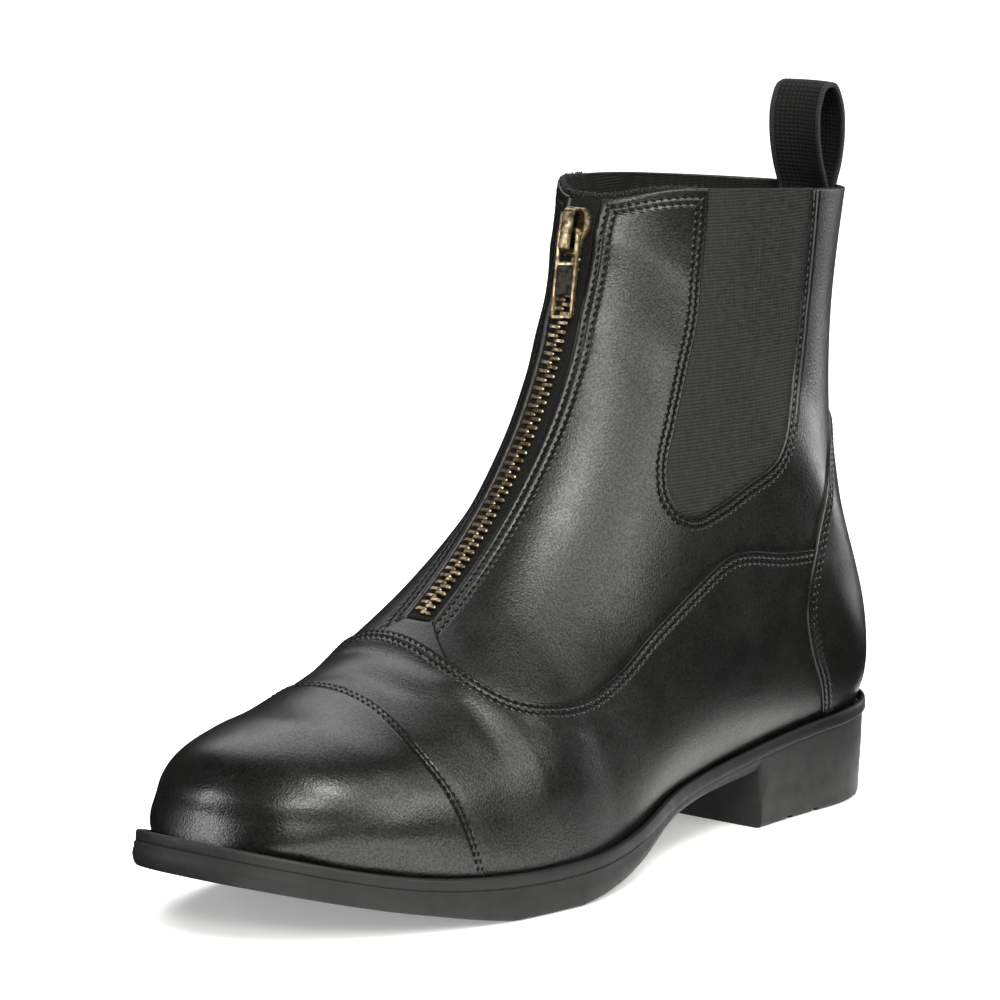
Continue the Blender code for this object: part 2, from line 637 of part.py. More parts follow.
def make_zip():
    """Tape in the slot, and the closed chain on it up to the slider."""
    tape = add_solid("zip_tape", sheet_between(-TAPE_DEPTH - TAPE_SHEET, -TAPE_DEPTH),
                     finish("tape", (0.015, 0.015, 0.015), 0.9))
    cut(tape, add_solid("tape_outline", zip_box(SLOT_HALF - GAP, SLOT_FOOT + GAP)), "INTERSECT")
    slider, up, _ = ridge_frame(SLIDER_AT)
    head = slider[2] + (SLIDER_OUTLINE[0][0] - GAP) * up[2]
    section = ((-CHAIN_HALF, CHAIN_LOW), (CHAIN_HALF, CHAIN_LOW), (CHAIN_HALF, CHAIN_SIDE),
               (CHAIN_HALF / 2, CHAIN_HIGH), (-CHAIN_HALF / 2, CHAIN_HIGH), (-CHAIN_HALF, CHAIN_SIDE))
    rings = []
    for height in np.linspace(CHAIN_FOOT, head, CHAIN_RINGS):
        middle, _, out = ridge_frame(height)
        rings.append(np.array([middle + (0, across, 0) + out * rise for across, rise in section]))
    add_solid("zip_chain", loft(rings), finish("teeth_brass", (0.35, 0.25, 0.13), 0.4, 1.0))


def zip_frame(rise):
    """Frame over the ridge at the slider: X up the zip, Y across it, Z out of it."""
    middle, up, out = ridge_frame(SLIDER_AT)
    place = (middle + out * rise - SHIFT) * MM
    turn = Matrix((up, np.cross(out, up), out)).transposed()
    return Matrix.Translation(Vector(place)) @ turn.to_4x4()


def extruded(outline, axis, low, high):
    """Solid whose outline is drawn across an axis, between two places on it."""
    rings = [np.insert(np.array(outline, float), axis, place, axis=1) for place in (low, high)]
    return loft(rings)


def make_slider():
    """Slider body on the tape, with the bridge that holds the pull tab."""
    half = np.array(SLIDER_OUTLINE)
    outline = np.vstack([half, half[::-1] * (1, -1)])
    brass = finish("slider_brass", (0.33, 0.24, 0.13), 0.35, 1.0)
    slider = add_solid("zip_slider", extruded(outline, 2, CHAIN_LOW, SLIDER_TOP), brass, zip_frame(0.0))
    foot = SLIDER_TOP - BRIDGE_SUNK
    inner = BRIDGE_LONG - BRIDGE_BAR
    under = SLIDER_TOP + BRIDGE_WINDOW
    over = under + BRIDGE_BAR
    arch = ((-BRIDGE_LONG, foot), (-BRIDGE_LONG, under), (-inner, over), (inner, over), (BRIDGE_LONG, under),
            (BRIDGE_LONG, foot), (inner, foot), (inner, under), (-inner, under), (-inner, foot))
    bridge = add_solid("bridge", extruded(arch, 1, -BRIDGE_HALF, BRIDGE_HALF), None, zip_frame(0.0))
    cut(slider, bridge, "UNION")


def make_pull():
    """Pull tab with the eye round the bridge and an open window near its end."""
    brass = finish("pull_brass", (0.36, 0.27, 0.15), 0.35, 1.0)
    lift = Matrix.Rotation(math.radians(PULL_REST_LIFT), 4, "Y")
    hinge = zip_frame(SLIDER_TOP + BRIDGE_WINDOW / 2) @ lift
    head, tail = PULL_ENDS
    blank = box((tail, -PULL_HALF, -PULL_THICK / 2), (head, PULL_HALF, PULL_THICK / 2))
    pull = add_solid("zip_pull", blank, brass, hinge)
    window_half = PULL_HALF - PULL_ARM
    for k, (near, far) in enumerate(PULL_WINDOWS):
        hole = box((far, -window_half, -PULL_THICK), (near, window_half, PULL_THICK))
        cut(pull, add_solid(f"pull_window_{k}", hole, None, hinge), "DIFFERENCE")


def make_loop():
    """Band of webbing, bowed with the back of the collar."""
    line = seam_curve(LOOP_ROUTE)
    along = np.gradient(line, axis=0)
    along /= np.linalg.norm(along, axis=1)[:, None]
    out = np.column_stack([-along[:, 1], along[:, 0]])
    across = np.linspace(-LOOP_WIDE / 2, LOOP_WIDE / 2, LOOP_SPANS + 1)
    bow = across ** 2 / (2 * LOOP_BOW)
    rings = []
    for (x, z), (out_x, out_z) in zip(line, out):
        sides = []
        for side in (-LOOP_THICK / 2, LOOP_THICK / 2):
            height = np.full(LOOP_SPANS + 1, z + side * out_z)
            sides.append(np.column_stack([x + side * out_x + bow, LOOP_MIDDLE + across, height]))
        rings.append(np.vstack([sides[0], sides[1][::-1]]))
    add_solid("pull_loop", loft(rings), finish("webbing", (0.02, 0.02, 0.02), 0.9))


def main():
    for leftover in list(bpy.data.objects):
        bpy.data.objects.remove(leftover)
    bpy.context.collection.objects.link(bpy.data.objects.new("boot", None))
    make_outsole()
    make_welt()
    make_insole()
    make_upper()
    make_overlays()
    make_gussets()
    make_zip()
    make_slider()
    make_pull()
    make_loop()


main()
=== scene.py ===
"""Looks of a left ankle boot with a front zip, elastic gussets and a moulded sole.

Sizes are in millimetres, measured from the back of the sole, until a mesh is made.
The scene is in metres, with +X towards the toe, +Y to the outer side and +Z up.
"""

from collections import namedtuple
import json
import math

import bmesh
import bpy
import numpy as np
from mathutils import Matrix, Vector, kdtree

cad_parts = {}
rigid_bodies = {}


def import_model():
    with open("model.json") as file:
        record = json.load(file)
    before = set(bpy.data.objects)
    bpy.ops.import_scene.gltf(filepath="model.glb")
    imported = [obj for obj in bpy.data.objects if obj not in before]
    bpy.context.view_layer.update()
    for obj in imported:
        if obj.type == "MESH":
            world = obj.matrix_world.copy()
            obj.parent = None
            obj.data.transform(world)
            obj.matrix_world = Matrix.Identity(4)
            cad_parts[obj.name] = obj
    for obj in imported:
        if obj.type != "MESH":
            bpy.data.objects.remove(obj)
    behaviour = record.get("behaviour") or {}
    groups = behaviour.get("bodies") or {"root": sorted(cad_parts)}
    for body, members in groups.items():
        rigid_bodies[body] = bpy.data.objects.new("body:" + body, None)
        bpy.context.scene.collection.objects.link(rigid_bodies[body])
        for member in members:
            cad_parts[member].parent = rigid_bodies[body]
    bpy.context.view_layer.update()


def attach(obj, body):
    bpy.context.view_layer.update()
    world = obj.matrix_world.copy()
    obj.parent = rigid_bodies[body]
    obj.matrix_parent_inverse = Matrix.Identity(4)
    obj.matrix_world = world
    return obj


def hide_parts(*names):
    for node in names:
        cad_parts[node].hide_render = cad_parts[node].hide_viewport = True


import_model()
MM = 0.001
GAP = 0.3
WALL = 2.0
UP = np.array([0.0, 0.0, 1.0])

# Outline of the sole, seen from above.
SOLE_LENGTH = 280.0
HEEL_ROUND = 34.0
HEEL_POWER = 2.3
BALL_AT = 178.0
TOE_POWER = 2.4
BREAST_AT = 70.0
BREAST_RAKE = 0.8
# x, half width from the round heel to where the toe curve starts
SOLE_HALVES = ((HEEL_ROUND, 30.5), (BREAST_AT, 30.3), (116.0, 34.4), (146.0, 44.8), (170.0, 50.2),
               (194.0, 50.2))
# x, middle of the outline across the sole
SOLE_MIDDLES = ((0.0, 0.3), (HEEL_ROUND, 0.3), (116.0, 3.4), (166.0, 1.7), (SOLE_LENGTH, -10.5))
# x, height of the bed that the upper stands on
SOLE_BEDS = ((0.0, 28.0), (64.0, 23.7), (118.0, 17.9), (160.0, 10.8), (192.0, 9.6), (235.0, 13.6),
             (SOLE_LENGTH, 25.0))
# x, height of the underside ahead of the heel, where less than nothing is trodden flat
SOLE_GROUNDS = ((BREAST_AT, 17.7), (118.0, 13.3), (160.0, 2.6), (190.0, -0.8), (235.0, 6.2),
                (SOLE_LENGTH, 17.0))
WELT_HEEL_IN = 0.0
WELT_FORE_IN = 1.0
WELT_HEEL_DEEP = 1.2
WELT_FORE_DEEP = 1.9
HEEL_FEATHER = 4.8
FORE_FEATHER = 5.0
TOE_FEATHER = 6.6
TOE_FULL_AT = 245.0

# Sections of the upper, as in the solids.
Section = namedtuple("Section", "name top_x top_z low outer inner widest crown hem ridge")
SECTIONS = (
    Section("toe_tip", 273.4, 24.4, 0.000, 1.0, 1.0, 0.60, 1.9, 2.5, -10.0),
    Section("toe_rim", 271.6, 31.0, 0.060, 16.2, 15.9, 0.62, 1.9, 2.5, -9.5),
    Section("toe_wall", 268.0, 42.3, 0.128, 28.2, 27.6, 0.64, 1.85, 2.5, -8.3),
    Section("toe_top", 259.8, 51.8, 0.192, 36.2, 35.4, 0.66, 2.0, 2.5, -7.2),
    Section("toe_crown", 245.6, 56.5, 0.242, 40.0, 39.3, 0.68, 2.15, 2.5, -6.0),
    Section("cap", 229.0, 59.7, 0.295, 42.4, 41.7, 0.70, 2.2, 2.5, -5.0),
    Section("ball", 200.0, 70.5, 0.368, 46.0, 45.0, 0.72, 2.1, 2.5, -4.3),
    Section("vamp", 175.5, 86.5, 0.460, 42.0, 38.0, 0.70, 2.0, 2.4, -3.6),
    Section("instep_low", 155.0, 105.5, 0.555, 37.8, 31.8, 0.68, 2.0, 2.3, -3.2),
    Section("instep", 138.2, 127.0, 0.645, 36.8, 30.4, 0.64, 2.0, 2.2, -3.2),
    Section("long_heel", 128.0, 146.5, 0.745, 36.8, 30.4, 0.60, 2.0, 2.1, -3.2),
    Section("heel_side", 123.6, 159.6, 0.848, 36.6, 31.0, 0.57, 2.05, 2.2, -3.2),
    Section("heel_corner", 121.5, 165.4, 0.928, 36.5, 31.2, 0.55, 2.08, 2.4, -3.2),
    Section("heel_edge", 119.8, 170.5, 1.000, 36.2, 31.4, 0.54, 2.1, 2.6, -3.2),
    Section("counter", 118.2, 176.5, 55.0, 34.8, 31.4, 0.53, 2.1, 2.6, -3.2),
    Section("ankle_low", 117.2, 182.0, 80.0, 32.4, 31.2, 0.52, 2.1, 2.2, -3.2),
    Section("ankle", 115.6, 187.0, 105.0, 30.6, 31.2, 0.50, 2.05, 1.98, -3.2),
    Section("shaft", 113.6, 191.5, 142.0, 30.4, 32.0, 0.50, 2.05, 1.93, -3.2),
    Section("collar", 111.6, 195.5, 186.0, 32.2, 33.6, 0.50, 2.05, 1.93, -3.2),
)
HEEL_EDGE = 13
# height, x of the back seam, and height, y
BACK_SEAM = ((55.0, 4.3), (80.0, 10.3), (105.0, 14.5), (142.0, 16.8), (186.0, 12.6))
BACK_TURN = ((30.0, 0.3), (80.0, 1.6), (120.0, 3.6), (186.0, 5.4))
SKIN_ALONG = 14
SKIN_STEPS = 20
HEEL_SOFT = 1.4
HEEL_PATCH = 17.0
PATCH_EVERY = 4
PATCH_FACING = 0.2
PATCH_LEAST = 16
PATCH_CLEAR = (1.5, 8.0)
SKIN_ROUND = 120
SMOOTH_IN = 0.5
SMOOTH_OUT = -0.52
HEEL_AXIS = (46.0, 1.6)
HEEL_PINCH = 2.4
HEEL_PINCH_AT = 77.0
HEEL_PINCH_LONG = 22.0
HEEL_PINCH_ENDS = (18.0, 62.0)
TOE_AXIS = (234.0, -8.0)
# Height and how far the toe's wall stands out there.
TOE_WALL = ((21.0, 0.0), (28.0, -0.9), (34.0, -0.5), (40.0, 1.1), (46.0, 1.3), (54.0, 0.6),
            (63.0, 0.0))
TOE_WALL_STARTS = (238.0, 262.0)

# Seams, seen from the side: x, z.
SEAM_LEAN = 0.12
LEAN_FROM = 110.0
LEAN_TO = 200.0
PAST_TOE = 300.0
PAST_HEEL = -20.0
UNDER_SOLE = -10.0
CAP_SEAM = ((217.5, 72.0), (219.3, 60.0), (219.3, 54.0), (218.0, 48.0), (215.0, 41.0), (211.2, 31.0),
            (206.0, 16.0), (203.0, 2.0))
WING_SEAM = ((192.5, 84.0), (193.8, 76.0), (193.4, 70.5), (191.3, 66.0), (187.4, 61.8), (181.0, 58.4),
             (172.5, 56.6), (159.0, 56.2), (145.0, 60.4), (126.0, 71.5), (107.0, 81.4), (97.0, 86.0),
             (90.0, 87.6), (82.5, 87.2), (70.0, 85.0), (50.8, 83.4))
COUNTER_SEAM = ((2.0, 128.0), (22.0, 119.5), (38.0, 107.5), (46.3, 93.4), (50.8, 83.4), (54.2, 74.0),
                (55.2, 64.0), (51.0, 52.0), (43.0, 39.5), (35.0, 22.0))
GUSSET_FRONT = ((91.0, 204.0), (90.6, 184.0), (93.8, 160.0), (100.0, 142.0), (107.0, 127.0),
                (113.0, 113.0), (113.4, 107.0), (110.6, 102.5), (105.5, 100.5), (96.5, 102.0),
                (82.0, 106.8), (67.0, 113.0), (61.5, 120.8))
GUSSET_REAR = ((56.8, 132.0), (52.2, 158.0), (52.4, 204.0))

# Collar: how far the skin goes past the solids' edge, and how far the leather dips beside the zip.
COLLAR_PAST = 1.3
COLLAR_FRONT_LESS = 1.0
COLLAR_PAST_ENDS = (55.0, 105.0)
COLLAR_UNDER = 0.12
FRONT_DROP = 3.4
FRONT_DROP_ASIDE = (4.0, 24.0)
FRONT_DROP_ROWS = 4
COLLAR_DIP = 4.6
COLLAR_DIP_FROM = 5.0
COLLAR_DIP_TO = 27.0
COLLAR_DIP_BACK = (60.0, 85.0)
COLLAR_ROWS = 3

# Rolled rim of the collar, and the frayed end of the zip's tape.
RIM_STEPS = 9
RIM_HIGH = 0.55
RIM_DIP_BACK = (60.0, 75.0)
TAPE_END_BACK = 70.0
# Depth and rise of the tape's top edge.
TAPE_END_PROFILE = ((-1.0, 0.0), (-1.05, 0.5), (-1.5, 0.8), (-1.95, 0.5), (-2.0, 0.0))
FUZZ_COUNT = 900
FUZZ_THICK = 0.13
FUZZ_LONG = (0.5, 1.5)

# How far the toe and the tip lie below the sections, and where that starts.
TOE_SINK = 1.2
TOE_SINK_STARTS = (186.0, 204.0)
TIP_SINK = 0.4
TIP_SINK_STARTS = (245.0, 262.0)
SINK_OVER_BED = (6.0, 24.0)

# Heights of the sheets over the outside of the upper.
VAMP_HIGH = 0.75
CAP_HIGH = 1.35
COUNTER_HIGH = 0.9
COUNTER_LOW_HIGH = 1.3
ELASTIC_DEPTH = 0.8
TAPE_DEPTH = 1.0
EDGE_ROUND = 0.45

# How the sheets tuck under and dent beside each other, and sink at the openings.
TUCK = 0.2
VAMP_TUCK = 0.15
DENT_WIDE = 1.2
VAMP_DENT = 0.12
SHAFT_DENT = 0.15
COUNTER_STEP = 9.0
WINDOW_ROUND = 0.8
SLOT_ROUND = 0.9
SLOT_LOW_DEPTH = 0.5
PATCH_DEPTH = 0.45
PATCH_ROUND = 0.5
ELASTIC_SWELL = 0.15
ELASTIC_SWELL_WIDE = 4.0
CREASES_OVER = 40.0

# Zip
ZIP_MIDDLE = -3.2
SLOT_HALF = 5.9
SLOT_FOOT = 77.8
SLOT_FOOT_HALF = 4.8
SLOT_NARROW = (84.0, 150.0)
ZIP_BACK = 80.0
PATCH_SPREAD = 1.5
PATCH_FOOT = 60.0
TOOTH_PITCH = 2.7
CHAIN_FOOT = 79.2
CHAIN_UNDER_SLIDER = 4.0
SLIDER_AT = 182.0
SLIDER_TOP = 1.8
BRIDGE_WINDOW = 1.8
PULL_REST_LIFT = 0.5
PULL_SWAY = 5.0

# Pull loop
LOOP_WIDE = 19.0
LOOP_MIDDLE = 5.4
LOOP_THICK = 1.6
LOOP_BOW = 19.0
LOOP_EDGE = 1.7
LOOP_MOVE = (-0.8, 1.0, -1.2)
LOOP_ROUTE = ((19.5, 168.0), (17.7, 179.0), (16.4, 187.0), (12.8, 197.0), (11.6, 206.0), (12.8, 214.5),
              (16.2, 219.4), (20.0, 219.2), (23.4, 213.5), (24.0, 206.0), (22.2, 196.0), (19.2, 187.0),
              (19.8, 179.0), (21.6, 168.0))

# Treads
GROOVE_WIDE = 3.0
GROOVE_DEEP = 1.2
HEEL_GROOVES = (18.0, 41.0, 54.0)
FORE_GROOVES = (150.0, 163.0, 176.0, 202.0, 215.0, 228.0, 241.0)
FORE_RIM = 9.0

# Floor, lamps and camera, in the frame of the sizes above.
# How much the floor glows: painted light that pales the boot's shadow on it.
FLOOR_GLOW = 0.3
WORLD_GLOW = 0.02
TABLE_CORNERS = ((-0.25, -0.10), (0.25, 0.03), (0.25, 0.34), (-0.25, -0.022))
FLOOR_CORNERS = ((-9.0, -9.0), (9.0, -9.0), (9.0, 9.0), (-9.0, 9.0))
WHITE = (1.0, 1.0, 1.0)
WARM = (1.0, 0.993, 0.94)
LAMP_AIM = (150.0, 0.0, 90.0)
# Name, turn, rise, distance, size, power and colour.
LAMPS = (
    ("key", 70.0, 35.0, 1500.0, (2700, 1450), 31.0, WARM),
    ("key_hot", 62.0, 51.0, 1400.0, (500, 400), 9.5, WARM),
    ("key_left", 35.0, 29.0, 1400.0, (650, 300), 7.0, WARM),
    ("key_low", 108.0, 18.0, 1400.0, (500, 400), 3.0, WARM),
    ("left", -36.0, 10.0, 1300.0, (200, 700), 6.0, WHITE),
    ("back", -132.0, 52.0, 1600.0, (1800, 1300), 16.5, WHITE),
    ("rear", 172.0, 5.0, 1500.0, (280, 560), 5.0, WHITE),
)
OVERHEAD_AT = (-770.0, -780.0)
OVERHEAD_HIGH = 5000.0
OVERHEAD_SIZE = (9000, 9000)
CAMERA_TURN = 40.5
CAMERA_AWAY = 1644.9
CAMERA_HIGH = 400.0
CAMERA_AIM = (154.8, 0.0, 108.1)
CAMERA_LENS = 208.5
CAMERA_SENSOR = 36.0


def smooth(table, at):
    """Value at a place on the smooth curve through the rows (place, value)."""
    knots, values = np.array(table, float).T
    at = np.asarray(at, float)
    steps = np.diff(knots)
    rises = np.diff(values) / steps
    slopes = np.empty_like(values)
    slopes[1:-1] = (rises[:-1] * steps[1:] + rises[1:] * steps[:-1]) / (steps[1:] + steps[:-1])
    slopes[0] = 1.5 * rises[0] - 0.5 * slopes[1]
    slopes[-1] = 1.5 * rises[-1] - 0.5 * slopes[-2]
    i = np.clip(np.searchsorted(knots, at, side="right") - 1, 0, len(steps) - 1)
    t = (at - knots[i]) / steps[i]
    near = values[i] * (1 + 2 * t) * (1 - t) ** 2 + values[i + 1] * t * t * (3 - 2 * t)
    return near + steps[i] * (slopes[i] * t * (1 - t) ** 2 - slopes[i + 1] * t * t * (1 - t))


def blend(at, start, end):
    """Soft step from 0 at start to 1 at end."""
    t = np.clip((np.asarray(at, float) - start) / (end - start), 0, 1)
    return t * t * (3 - 2 * t)


def unit(vectors, least=1e-9):
    """Vectors brought to length one, apart from any that are shorter than the least length."""
    return vectors / np.maximum(np.linalg.norm(vectors, axis=-1, keepdims=True), least)


def run_length(points):
    """Length along a line of points, up to each of them."""
    return np.concatenate([[0], np.cumsum(np.linalg.norm(np.diff(points, axis=0), axis=1))])


def resampled(at, length, rows):
    """Rows of a table, read between the lengths that go with them."""
    return np.column_stack([np.interp(at, length, values) for values in rows.T])


def part_of(faces):
    """Numbers of the points that some faces use, and the faces with those points counted afresh."""
    used, inverse = np.unique(faces, return_inverse=True)
    return used, inverse.reshape(np.shape(faces))


def outline_half(x, inset=0.0):
    """Half width of the sole's outline at x, drawn in by inset all round."""
    half = smooth(SOLE_HALVES, np.clip(x, HEEL_ROUND, BALL_AT)) - inset
    toe = np.clip((x - BALL_AT) / (SOLE_LENGTH - inset - BALL_AT), 0, 1)
    heel = np.clip((HEEL_ROUND - x) / (HEEL_ROUND - inset), 0, 1)
    toe_curve = (1 - toe ** TOE_POWER) ** (1 / TOE_POWER)
    heel_curve = (1 - heel ** HEEL_POWER) ** (1 / HEEL_POWER)
    return half * toe_curve * heel_curve


def stations(count, inset=0.0):
    """Places along the sole from toe to heel, closer together at both ends."""
    turn = np.linspace(0, math.pi, count)
    return inset + (SOLE_LENGTH - 2 * inset) * (0.5 + 0.5 * np.cos(turn))


def outline_loop(x, inset=0.0):
    """Loop round the sole: the outer side from toe to heel, then the inner side back."""
    half = outline_half(x, inset)
    middle = smooth(SOLE_MIDDLES, x)
    outer = np.column_stack([x, middle + half])
    inner = np.column_stack([x, middle - half])
    return np.vstack([outer, inner[-2:0:-1]])


def drawn_in(loop, inset):
    """The loop moved inwards by an inset for each of its points."""
    along = unit(np.roll(loop, -1, axis=0) - np.roll(loop, 1, axis=0))
    outwards = np.column_stack([along[:, 1], -along[:, 0]])
    return loop - outwards * np.asarray(inset)[:, None]


def bed(x):
    """Height of the bed that the upper stands on."""
    return smooth(SOLE_BEDS, np.clip(x, 0, SOLE_LENGTH))


def ground(x):
    """Height of the underside of the sole."""
    ahead = np.maximum(0, smooth(SOLE_GROUNDS, np.clip(x, BREAST_AT, SOLE_LENGTH)))
    return np.where(x < BREAST_AT, 0.0, ahead)


def along_sole(x, heel, fore):
    """A size that changes over the waist from its value at the heel to the one at the forepart."""
    return heel + (fore - heel) * blend(x, BREAST_AT, BALL_AT)


def column(name):
    """One column of the table of sections, with the row numbers that go with it."""
    return [(row, getattr(section, name)) for row, section in enumerate(SECTIONS)]


def feather_line():
    """The upper's lower edge from toe tip to heel back: share of its length, x, middle, half width."""
    x = np.clip(stations(400), HEEL_FEATHER, SOLE_LENGTH - TOE_FEATHER)
    middle = smooth(SOLE_MIDDLES, x)
    toe = (TOE_FEATHER - FORE_FEATHER) * blend(x, BALL_AT, TOE_FULL_AT)
    half = outline_half(x, along_sole(x, HEEL_FEATHER, FORE_FEATHER) + toe)
    length = run_length(np.column_stack([x, half]))
    return length / length[-1], x, middle, half


FEATHER_LINE = feather_line()
EDGE_OF_SOLE = outline_loop(stations(400))[:, 1]
SHIFT = np.array([SOLE_LENGTH / 2, 0.5 * (EDGE_OF_SOLE.max() + EDGE_OF_SOLE.min()), 0.0])


def low_point(row):
    """Low end of the section at a row: x, y, z and the half width that the section ends with."""
    share, x, middle, half = FEATHER_LINE
    lows = column("low")
    if row <= HEEL_EDGE:
        at = float(np.clip(smooth(lows[:HEEL_EDGE + 1], row), 0, 1))
        low_x = np.interp(at, share, x)
        return low_x, np.interp(at, share, middle), bed(low_x) + GAP, np.interp(at, share, half)
    heel_z = float(bed(HEEL_FEATHER)) + GAP
    low_z = smooth([(HEEL_EDGE, heel_z)] + lows[HEEL_EDGE + 1:], row)
    low_x = smooth(((heel_z, HEEL_FEATHER),) + BACK_SEAM, low_z)
    return low_x, smooth(BACK_TURN, low_z), low_z, 0.0


def half_section(crown, hem, wide, widest, end, samples=160):
    """Half a girth section: shares of the way down, and the half width at each."""
    wide = max(wide, end + GAP)
    over = np.linspace(0, math.pi / 2, samples)
    down_over = widest * (1 - np.cos(over) ** (2 / crown))
    wide_over = wide * np.sin(over) ** (2 / crown)
    reach = (1 - (end / wide) ** hem) ** (1 / hem)
    under = np.linspace(0, math.asin(min(1, reach ** (hem / 2))), samples)[1:]
    down_under = widest + (1 - widest) / reach * np.sin(under) ** (2 / hem)
    wide_under = wide * np.cos(under) ** (2 / hem)
    return np.concatenate([down_over, down_under]), np.concatenate([wide_over, wide_under])


def girth(row, spans):
    """Points of one section, from the inner low end over the ridge to the outer low end."""
    at = {name: float(smooth(column(name), row)) for name in Section._fields[1:] if name != "low"}
    low_x, low_y, low_z, end = low_point(row)
    halves = []
    for side, wide in ((1, at["outer"]), (-1, at["inner"])):
        down, half = half_section(at["crown"], at["hem"], wide, at["widest"], end)
        points = np.column_stack([
            at["top_x"] + (low_x - at["top_x"]) * down,
            at["ridge"] + (low_y - at["ridge"]) * down + side * half,
            at["top_z"] + (low_z - at["top_z"]) * down,
        ])
        length = run_length(points)
        halves.append(resampled(np.linspace(0, length[-1], spans + 1), length, points))
    outer, inner = halves
    return np.vstack([inner[::-1], outer[1:]])


def seam_curve(table, per_span=8):
    """Points on the smooth curve through the rows (x, z) of a seam."""
    table = np.array(table)
    length = run_length(table)
    places = np.interp(np.arange((len(table) - 1) * per_span + 1) / per_span, range(len(table)), length)
    return np.column_stack([smooth(list(zip(length, table[:, k])), places) for k in range(2)])


def grid_outward(grid):
    """Outward direction at each point of a grid."""
    return unit(np.cross(np.gradient(grid, axis=1), np.gradient(grid, axis=0)))


def patch_offset(place, facing, sample, facings, tree):
    """How far a curved patch, fitted to the points near a place, lies from it along its facing."""
    near = np.array([found[1] for found in tree.find_range(place, HEEL_PATCH)])
    near = near[facings[near] @ facing > PATCH_FACING]
    if len(near) < PATCH_LEAST:
        return 0.0
    across = unit(np.cross(facing, UP))
    axes = (across, np.cross(facing, across), facing)
    u, v, w = ((sample[near] - place) @ axis for axis in axes)
    weight = np.exp(-(u * u + v * v + w * w) / (0.5 * HEEL_PATCH) ** 2)[:, None]
    terms = np.column_stack([np.ones_like(u), u, v, u * u, u * v, v * v])
    return np.linalg.lstsq(terms * weight, w * weight[:, 0], rcond=None)[0][0]


def rounded_heel(rows, grid):
    """The grid with the fold where its sections leave the sole rounded off."""
    out = grid_outward(grid)
    wide = np.where(np.abs(rows - HEEL_EDGE) < 2 * HEEL_SOFT)[0]
    thinned = (slice(wide[0], wide[-1] + 1, 2), slice(None, None, PATCH_EVERY))
    sample = grid[thinned].reshape(-1, 3)
    facings = out[thinned].reshape(-1, 3)
    tree = kdtree.KDTree(len(sample))
    for k, place in enumerate(sample):
        tree.insert(place, k)
    tree.balance()
    result = grid.copy()
    columns = np.arange(0, grid.shape[1], PATCH_EVERY)
    for k in wide:
        offsets = np.zeros((len(columns), 3))
        for n, at in enumerate(columns):
            offsets[n] = out[k, at] * patch_offset(grid[k, at], out[k, at], sample, facings, tree)
        if rows[k] >= HEEL_EDGE:
            offsets[[0, -1]] = 0.5 * (offsets[0] + offsets[-1])
        fade = 1 - blend(abs(rows[k] - HEEL_EDGE), HEEL_SOFT, 2 * HEEL_SOFT)
        clear = blend(grid[k, :, 2] - bed(grid[k, :, 0]), *PATCH_CLEAR)
        moved = resampled(np.arange(grid.shape[1]), columns, offsets)
        result[k] += moved * (fade * clear)[:, None]
    return result


def drawn_to_photo(grid):
    """The grid with the heel drawn in below the ankle and the wall of the toe stood more upright."""
    x, z = grid[..., 0], grid[..., 2]
    heel = unit(grid[..., :2] - HEEL_AXIS, 1.0)
    pinch = HEEL_PINCH * np.exp(-((z - HEEL_PINCH_AT) / HEEL_PINCH_LONG) ** 2)
    pinch *= 1 - blend(x, *HEEL_PINCH_ENDS)
    toe = unit(grid[..., :2] - TOE_AXIS, 1.0)
    wall = smooth(TOE_WALL, np.clip(z, TOE_WALL[0][0], TOE_WALL[-1][0])) * blend(x, *TOE_WALL_STARTS)
    result = grid.copy()
    result[..., :2] += toe * wall[..., None] - heel * pinch[..., None]
    return result


def past_collar(x):
    """How far the skin goes past the solids' edge at the collar."""
    return COLLAR_PAST - COLLAR_FRONT_LESS * blend(x, *COLLAR_PAST_ENDS)


def skin_grid():
    """Fine grid over the outside of the upper, with the steps between its sections smoothed out."""
    rows = np.linspace(0, len(SECTIONS) - 1, (len(SECTIONS) - 1) * SKIN_ALONG + 1)
    grid = np.array([girth(row, SKIN_ROUND) for row in rows])
    grid[0] = grid[0].mean(axis=0)
    closed = rows >= HEEL_EDGE
    for step in range(2 * SKIN_STEPS):
        if step == SKIN_STEPS:
            grid = rounded_heel(rows, grid)
        pull = SMOOTH_IN if step % 2 == 0 else SMOOTH_OUT
        left = np.roll(grid, 1, axis=1)
        right = np.roll(grid, -1, axis=1)
        left[closed, 0] = grid[closed, -2]
        right[closed, -1] = grid[closed, 1]
        mean = 0.25 * (left[1:-1] + right[1:-1] + grid[:-2] + grid[2:])
        move = pull * (mean - grid[1:-1])
        move[~closed[1:-1], 0] = 0
        move[~closed[1:-1], -1] = 0
        move[int(HEEL_EDGE * SKIN_ALONG) - 1, [0, -1]] = 0
        grid[1:-1] += move
    grid = drawn_to_photo(grid)
    up = unit(grid[-1] - grid[-2])
    aside = np.abs(grid[-1, :, 1] - ZIP_MIDDLE)
    drop = FRONT_DROP * (1 - blend(aside, *FRONT_DROP_ASIDE)) * blend(grid[-1, :, 0], *COLLAR_DIP_BACK)
    last = len(SECTIONS) - 1
    grid -= up * (drop * blend(rows, last - FRONT_DROP_ROWS, last)[:, None])[..., None]
    reach = past_collar(grid[-1, :, 0])[:, None]
    past = [grid[-1:] + up * reach * (k + 1) / COLLAR_ROWS for k in range(COLLAR_ROWS)]
    rows = np.concatenate([rows, rows[-1] + 0.01 * np.arange(1, COLLAR_ROWS + 1)])
    return rows, np.vstack([grid] + past)


